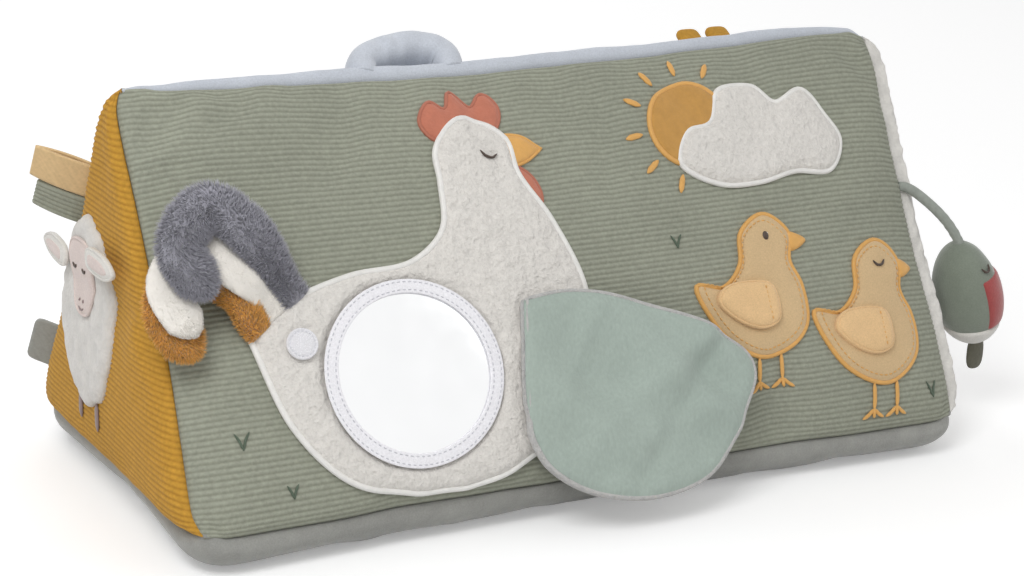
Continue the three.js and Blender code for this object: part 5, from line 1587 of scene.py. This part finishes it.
class TRIANGLE_OT_tabs(bpy.types.Operator):
    """Sew the ribbon tabs and the bare label into the rear left seam"""

    bl_idname = "triangle.tabs"
    bl_label = "Ribbon tabs and label"

    def execute(self, context):
        c = colours()
        ribbon, sage = woven("ochre ribbon", c.ribbon), corduroy("sage tab corduroy", c.sage, c.sage_groove_shade)
        for name, cloth, slot, rise, sizes in (
            ("ribbon_tab_ochre", ribbon, "ribbon_ochre", 132.8, (0.0285, 0.017, 0.0026, 0.0008)),
            ("ribbon_tab_sage", sage, "corduroy_sage", 116, (0.0255, 0.014, 0.0028, 0.0010, 31, 6)),
        ):
            place = seam_tab_frame(rise, -0.05)
            form = strap_loop(place, *sizes)
            form.make(name + "_loop", [cloth], name, slot, body=name, bend=(place(0.003, 0), place(0.012, 0)))
        form, place = Form(), seam_tab_frame(33)
        sewn, long, half = 0.0006, 0.014, 0.012
        x = sewn + (long - sewn) * np.sin(np.linspace(0, math.pi / 2, 24))
        b, a = np.meshgrid(np.linspace(-half, half, 30), x, indexing="ij")
        b = b * (1 - 0.3 * (1 - np.sqrt(1 - np.clip((a - 0.0100) / 0.0040, 0, 1) ** 2)))
        edge = np.minimum(np.minimum(a, long - a), half - np.abs(b))
        thick = 0.0004 + 0.0003 * smooth(edge / 0.0012)
        shell(form, place(a, b, thick), place(a, b, -thick))
        stitches(form, place, np.array(LABEL_SEAM) * MM, False, 0.0022, 0.0016, 0.0004, 0.0006, 1)
        cloth = [woven("label cloth", c.label), thread("label stitches", c.label)]
        form.make("side_label_cloth", cloth, "side_label", "label_grey", body="side_label",
                  bend=(place(0.002, 0), place(0.009, 0)))
        return {"FINISHED"}


EGG_FOOT = 0.08


def bird_egg(up, turn, lift=0.0):
    """Upright egg: height from the cosine of one angle, ovals round it that are wider towards the foot."""
    up, turn, lift = np.broadcast_arrays(*(np.asarray(v, float) for v in (up, turn, lift)))
    deep, wide, tall = BIRD_HALF
    r = np.sin(up) * (1 + EGG_FOOT * np.cos(up))
    x, y = r * np.cos(turn) * (deep + lift), r * np.sin(turn) * (wide + lift)
    return np.stack([x, y, -np.cos(up) * (tall + lift)], -1)


def bird_frame(p):
    """Points of the upright bird leaned about the depth axis and set in place."""
    cs, sn = math.cos(-BIRD_LEAN), math.sin(-BIRD_LEAN)
    x, y, z = p[..., 0], p[..., 1], p[..., 2]
    return np.stack([cs * x + sn * z, y, -sn * x + cs * z], -1) + BIRD_AT


def bird_skin(up, turn, lift=0.0):
    """Point of the hanging bird by an angle from foot to head, an angle round and a lift."""
    return bird_frame(bird_egg(up, turn, lift))


CORD_RISE = 108 / 184
CORD_TOP = np.array([0.20111, -0.05, 0.08403])
CORD_STEPS, CORD_AROUND = 48, 24


class TRIANGLE_OT_bird(bpy.types.Operator):
    """Hang the little bird on its cord"""

    bl_idname = "triangle.bird"
    bl_label = "Bird and cord"

    def execute(self, context):
        c, z = colours(), trim()
        seam = long_face(-1, 1.0, CORD_RISE) + np.array([-2, 2, 1]) * MM
        second = seam + np.array([5, -3, -1]) * MM
        third = second + (CORD_TOP - second) * 0.6 + np.array([1.5, -1, 1.5]) * MM
        inside = bird_frame(np.array([0.0, 0.0, 0.0205]))
        path = spline(np.stack([seam, second, third, CORD_TOP, inside]), CORD_STEPS)
        ahead = unit(np.gradient(path, axis=0))
        side = unit(np.cross(ahead, np.array([0, 1.0, 0.2])))
        turn, run = turns(CORD_AROUND)[None], walk(path)[:, None]
        braid = np.maximum(np.sin(4 * turn + run * 1500), np.sin(4 * turn - run * 1500))
        ends = np.sqrt(np.clip(np.minimum(run, run[-1] - run) / 0.0012, 0.05, 1))
        r = z.cord / 2 * (0.94 + 0.06 * braid) * ends
        form, cloth = Form(), woven("braided cord", c.cord)
        tube(form, path, side, np.cross(side, ahead), r, r, CORD_AROUND)
        cord = form.make("bird_cord_braid", [cloth], "bird_cord", "cord_grey", body="bird_cord")

        def fuzzy(up, turn):
            """Skin of the bird with a little unevenness."""
            return bird_skin(up, turn, -0.0003 + 0.0002 * noise(bird_egg(up, turn), 0.005, 111))

        def on_bird(a, b, lift=0.0):
            """Point of the bird's skin by two angles in thousandths."""
            return bird_skin(np.asarray(b) * 1000, np.asarray(a) * 1000, lift)

        form = Form()
        lump(form, fuzzy, 60, 84)
        for at in (-1.3, 1.3):
            eye = shifted([(-0.22, 2.20), (-0.10, 2.10), (0.10, 2.10), (0.22, 2.20)], (at, 0))
            stroke(form, on_bird, eye, 0.0010, 0.0004, 1)
        green = [velour("bird green velour", c.bird_back, 0.12, 0.6), thread("bird eye thread", c.thread_dark)]
        form.make("bird_back_plush", green, "bird_back", "plush_green", body="bird", merge=True, fill=0.8)
        deep, _, tall = BIRD_HALF
        breast_low, breast_tall = -0.0150, 0.0240
        q, p = np.linspace(0, 1, 34)[:, None], np.linspace(-1, 1, 48)[None]
        up = np.arccos(np.clip(-(breast_low + q * breast_tall) / tall, -1, 1))
        reach = np.arccos(np.clip(-0.0012 / (np.sin(up) * (1 + EGG_FOOT * np.cos(up)) * deep), -1, 1))
        edge = np.minimum(np.minimum(q, 1 - q) * breast_tall, (1 - np.abs(p)) * 0.02)
        lift = -0.0004 + 0.0012 * round_edge(edge, 0.0025)
        form, red = Form(), velour("bird red velour", c.bird_breast, 0.12, 0.6)
        shell(form, bird_skin(up, reach * p, lift), bird_skin(up, reach * p, -0.0012))
        form.make("bird_breast_plush", [red], "bird_breast", "plush_red", body="bird")
        most, belly_around = math.acos(0.0153 / tall), 64
        t = np.linspace(0, 1, 26)
        rows = np.concatenate([t * most, t[-2::-1] * most])[:, None]
        outer = -0.0003 + 0.0010 * round_edge((1 - t) * most * tall, 0.0022)
        lift = np.concatenate([outer, np.full(len(t) - 1, -0.0010)])[:, None]
        form, white = Form(), velour("bird white velour", c.bird_belly, 0.08, 0.5)
        skin = bird_skin(rows, turns(belly_around)[None], lift)
        form.add(skin, grid_faces(len(rows), belly_around, wrap_columns=True)[:, ::-1])
        form.make("bird_belly_plush", [white], "bird_belly", "plush_white", body="bird", merge=True)
        low, high = (np.array(v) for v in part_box("bird_tail"))
        centre, half = (low + high) / 2, (high - low) / 2

        def tail(up, turn):
            """Flattened rounded tab in the box of its solid."""
            s = signed_power(np.sin(up), 0.7)
            tall = -signed_power(np.cos(up), 0.7) + 0 * turn
            return centre + np.stack([s * np.cos(turn), s * np.sin(turn), tall], -1) * half

        form, dark = Form(), felt("dark olive felt", c.bird_tail)
        lump(form, tail, 26, 34)
        form.make("bird_tail_felt", [dark], "bird_tail", "felt_dark", body="bird", merge=True)
        return {"FINISHED"}


LOOP_HEIGHTS = np.array([-5, 3.6, 9.4, 10.8, 5.6, -5]) * MM
LOOP_SPREAD = np.array([-20.5, -18, -5.5, 9.5, 19.5, 20]) * MM - 0.049
LOOP_ROOT = 0.172
TAB_UP, TAB_OUT = np.array([0, 0.8634, 0.5045]), np.array([0, 0.5045, -0.8634])
TAB_HALF = (0.0055, 0.0020, 0.0047)


class TRIANGLE_OT_rear(bpy.types.Operator):
    """Sew the padded loop and the two tabs behind the top seam"""

    bl_idname = "triangle.rear"
    bl_label = "Rear loop and tabs"

    def execute(self, context):
        c, z = colours(), cover()
        u, v = 0.5 + LOOP_SPREAD / z.length, np.full(len(LOOP_SPREAD), LOOP_ROOT / z.side)
        path = spline(long_face(1, u, v) + panel("rear").normal(u, v) * LOOP_HEIGHTS[:, None], 90)
        ahead = unit(np.gradient(path, axis=0))
        flat = SLOPE * [1, -1, 1]
        side = unit(flat - ahead * (ahead @ flat)[:, None])
        t = np.linspace(0, 1, len(path))
        pinch = 1 - 0.18 * np.exp(-np.minimum(t, 1 - t) / 0.06)
        crease = 1 + 0.05 * noise(np.stack([t * 0.12, t * 0, t * 0], -1), 0.009, 121)
        wide, high = 0.0092 * pinch * crease, 0.0066 * pinch / crease
        form, blue = Form(), velour("loop velour", c.blue, 0.12, 0.5)
        tube(form, path, side, np.cross(side, ahead), wide, high, 36, power=0.85)
        form.make("rear_loop_velour", [blue], "rear_loop", "velour_blue", fill=0.6)
        ochre = corduroy("rear tab corduroy", c.ochre, c.ochre_groove_shade)
        for name in ("rear_tab_left", "rear_tab_right"):
            low, high = (np.array(v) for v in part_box(name))

            def tab(up, turn):
                """Small folded tab: a flattened rounded block about the middle of its solid."""
                s = signed_power(np.sin(up), 0.55)
                wide = TAB_HALF[0] * s * signed_power(np.cos(turn), 0.6)
                thick = TAB_HALF[1] * s * signed_power(np.sin(turn), 0.6)
                tall = -TAB_HALF[2] * signed_power(np.cos(up), 0.55) + 0 * turn
                at = (low + high) / 2
                return at + wide[..., None] * [1, 0, 0] + thick[..., None] * TAB_OUT + tall[..., None] * TAB_UP

            form = Form()
            lump(form, tab, 24, 32)
            form.make(name + "_cloth", [ochre], name, "ribbon_ochre", body=name, merge=True, fill=0.6)
        return {"FINISHED"}


# Place, power and size of each lamp
LAMPS = {
    "key lamp": ((-0.60, -0.50, 0.94), 5.9, 0.55),
    "fill lamp": ((1.3, -1.0, 0.9), 2.8, 1.2),
    "rear lamp": ((0.2, 1.4, 1.2), 6.0, 1.2),
}
LAMPS_LOOK_AT = np.array([0, 0, 0.08])
CAMERA_TURN, CAMERA_RISE, CAMERA_ROLL = (math.radians(v) for v in (-28.79, 17.22, 2.16))
CAMERA_LOOKS_AT, CAMERA_AWAY = np.array([0.0008, 0, 0.0704]), 1.0933
SENSOR, LENS = 36.0, 89.15
FLOOR_HALF, FLOOR_SHADE, FLOOR_GLOW = 6, 0.86, 0.28
ROOM_LIGHT, ROOM_SEEN = 0.52, 1.0


def aimed(name, data, at, back, roll=0.0):
    """New lamp or camera at a point that looks against a direction, rolled about it."""
    right = unit(np.cross([0, 0, 1.0], back))
    up = np.cross(back, right)
    x = math.cos(roll) * right + math.sin(roll) * up
    y = math.cos(roll) * up - math.sin(roll) * right
    holder = bpy.data.objects.new(name, data)
    bpy.context.scene.collection.objects.link(holder)
    holder.matrix_world = Matrix([(x[i], y[i], back[i], at[i]) for i in range(3)] + [(0, 0, 0, 1)])
    return holder


class TRIANGLE_OT_stage(bpy.types.Operator):
    """Lay the floor and set the lamps, the white surroundings and the camera"""

    bl_idname = "triangle.stage"
    bl_label = "Stage"

    def execute(self, context):
        scene = context.scene
        scene.view_settings.view_transform = "Standard"
        world = bpy.data.worlds.new("white room")
        scene.world = world
        world.use_nodes = True
        tree = world.node_tree
        tree.nodes.clear()
        ray = add_node(tree, "LightPath").outputs
        seen = ray["Is Camera Ray"]
        for kind in ("Is Glossy Ray", "Is Transmission Ray"):
            seen = add_node(tree, "Math", {0: seen, 1: ray[kind]}, operation="MAXIMUM").outputs[0]
        strength = add_node(tree, "MapRange", {"Value": seen, "To Min": ROOM_LIGHT, "To Max": ROOM_SEEN})
        light = add_node(tree, "Background", {"Color": (1, 1, 1, 1), "Strength": strength.outputs[0]})
        tree.links.new(light.outputs[0], add_node(tree, "OutputWorld").inputs[0])
        mesh = bpy.data.meshes.new("floor")
        corners = [(x * FLOOR_HALF, y * FLOOR_HALF, 0) for x, y in ((-1, -1), (1, -1), (1, 1), (-1, 1))]
        mesh.from_pydata(corners, [], [(0, 1, 2, 3)])
        floor = bpy.data.objects.new("floor", mesh)
        scene.collection.objects.link(floor)
        f = Finish("white floor", 0.9)
        f.shader.inputs["Base Color"].default_value = (FLOOR_SHADE, FLOOR_SHADE, FLOOR_SHADE, 1)
        f.shader.inputs["Emission Color"].default_value = (1, 1, 1, 1)
        glow = f.span(add_node(f.tree, "LightPath").outputs["Is Camera Ray"], 0, 1, 0.0, FLOOR_GLOW)
        f.tree.links.new(glow, f.shader.inputs["Emission Strength"])
        mesh.materials.append(f.material)
        floor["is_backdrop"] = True
        for name, (at, power, size) in LAMPS.items():
            lamp = bpy.data.lights.new(name, "AREA")
            lamp.energy, lamp.size = power, size
            aimed(name, lamp, at, unit(np.array(at) - LAMPS_LOOK_AT))
        low = math.cos(CAMERA_RISE)
        back = np.array([math.sin(CAMERA_TURN) * low, -math.cos(CAMERA_TURN) * low, math.sin(CAMERA_RISE)])
        camera = bpy.data.cameras.new("camera")
        camera.sensor_width, camera.lens = SENSOR, LENS
        scene.camera = aimed("camera", camera, CAMERA_LOOKS_AT + back * CAMERA_AWAY, back, CAMERA_ROLL)
        return {"FINISHED"}


OPERATORS = (
    TRIANGLE_OT_stage, TRIANGLE_OT_bird, TRIANGLE_OT_cover, TRIANGLE_OT_hen, TRIANGLE_OT_mirror, TRIANGLE_OT_flap,
    TRIANGLE_OT_plumes, TRIANGLE_OT_chicks, TRIANGLE_OT_sky, TRIANGLE_OT_sheep, TRIANGLE_OT_tabs, TRIANGLE_OT_rear,
)


class TRIANGLE_PT_panel(bpy.types.Panel):
    """Sizes, colours and building steps of the triangle"""

    bl_idname = "TRIANGLE_PT_panel"
    bl_label = "Soft activity triangle"
    bl_space_type = "VIEW_3D"
    bl_region_type = "UI"
    bl_category = "Triangle"

    def draw(self, context):
        for group in (cover(), trim(), colours()):
            box = self.layout.box()
            for key in group.__annotations__:
                box.prop(group, key, text=key.replace("_", " ").capitalize())
        for operator in OPERATORS:
            self.layout.operator(operator.bl_idname)


CLASSES = (CoverSizes, TrimSizes, FabricColours, *OPERATORS, TRIANGLE_PT_panel)


def register():
    """Register the classes and the scene's settings."""
    for item in CLASSES:
        bpy.utils.register_class(item)
    bpy.types.Scene.triangle_cover = PointerProperty(type=CoverSizes)
    bpy.types.Scene.triangle_trim = PointerProperty(type=TrimSizes)
    bpy.types.Scene.triangle_colours = PointerProperty(type=FabricColours)


def unregister():
    """Remove the settings and the classes."""
    del bpy.types.Scene.triangle_cover, bpy.types.Scene.triangle_trim, bpy.types.Scene.triangle_colours
    for item in reversed(CLASSES):
        bpy.utils.unregister_class(item)


def main():
    """Build every piece in order."""
    register()
    for operator in OPERATORS:
        group, name = operator.bl_idname.split(".")
        getattr(getattr(bpy.ops, group), name)()
    boxes = {"cad": CAD_BOX, "visual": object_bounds()}
    plain = {key: [[float(v) for v in corner_at] for corner_at in box] for key, box in boxes.items()}


if __name__ == "__main__":
    main()
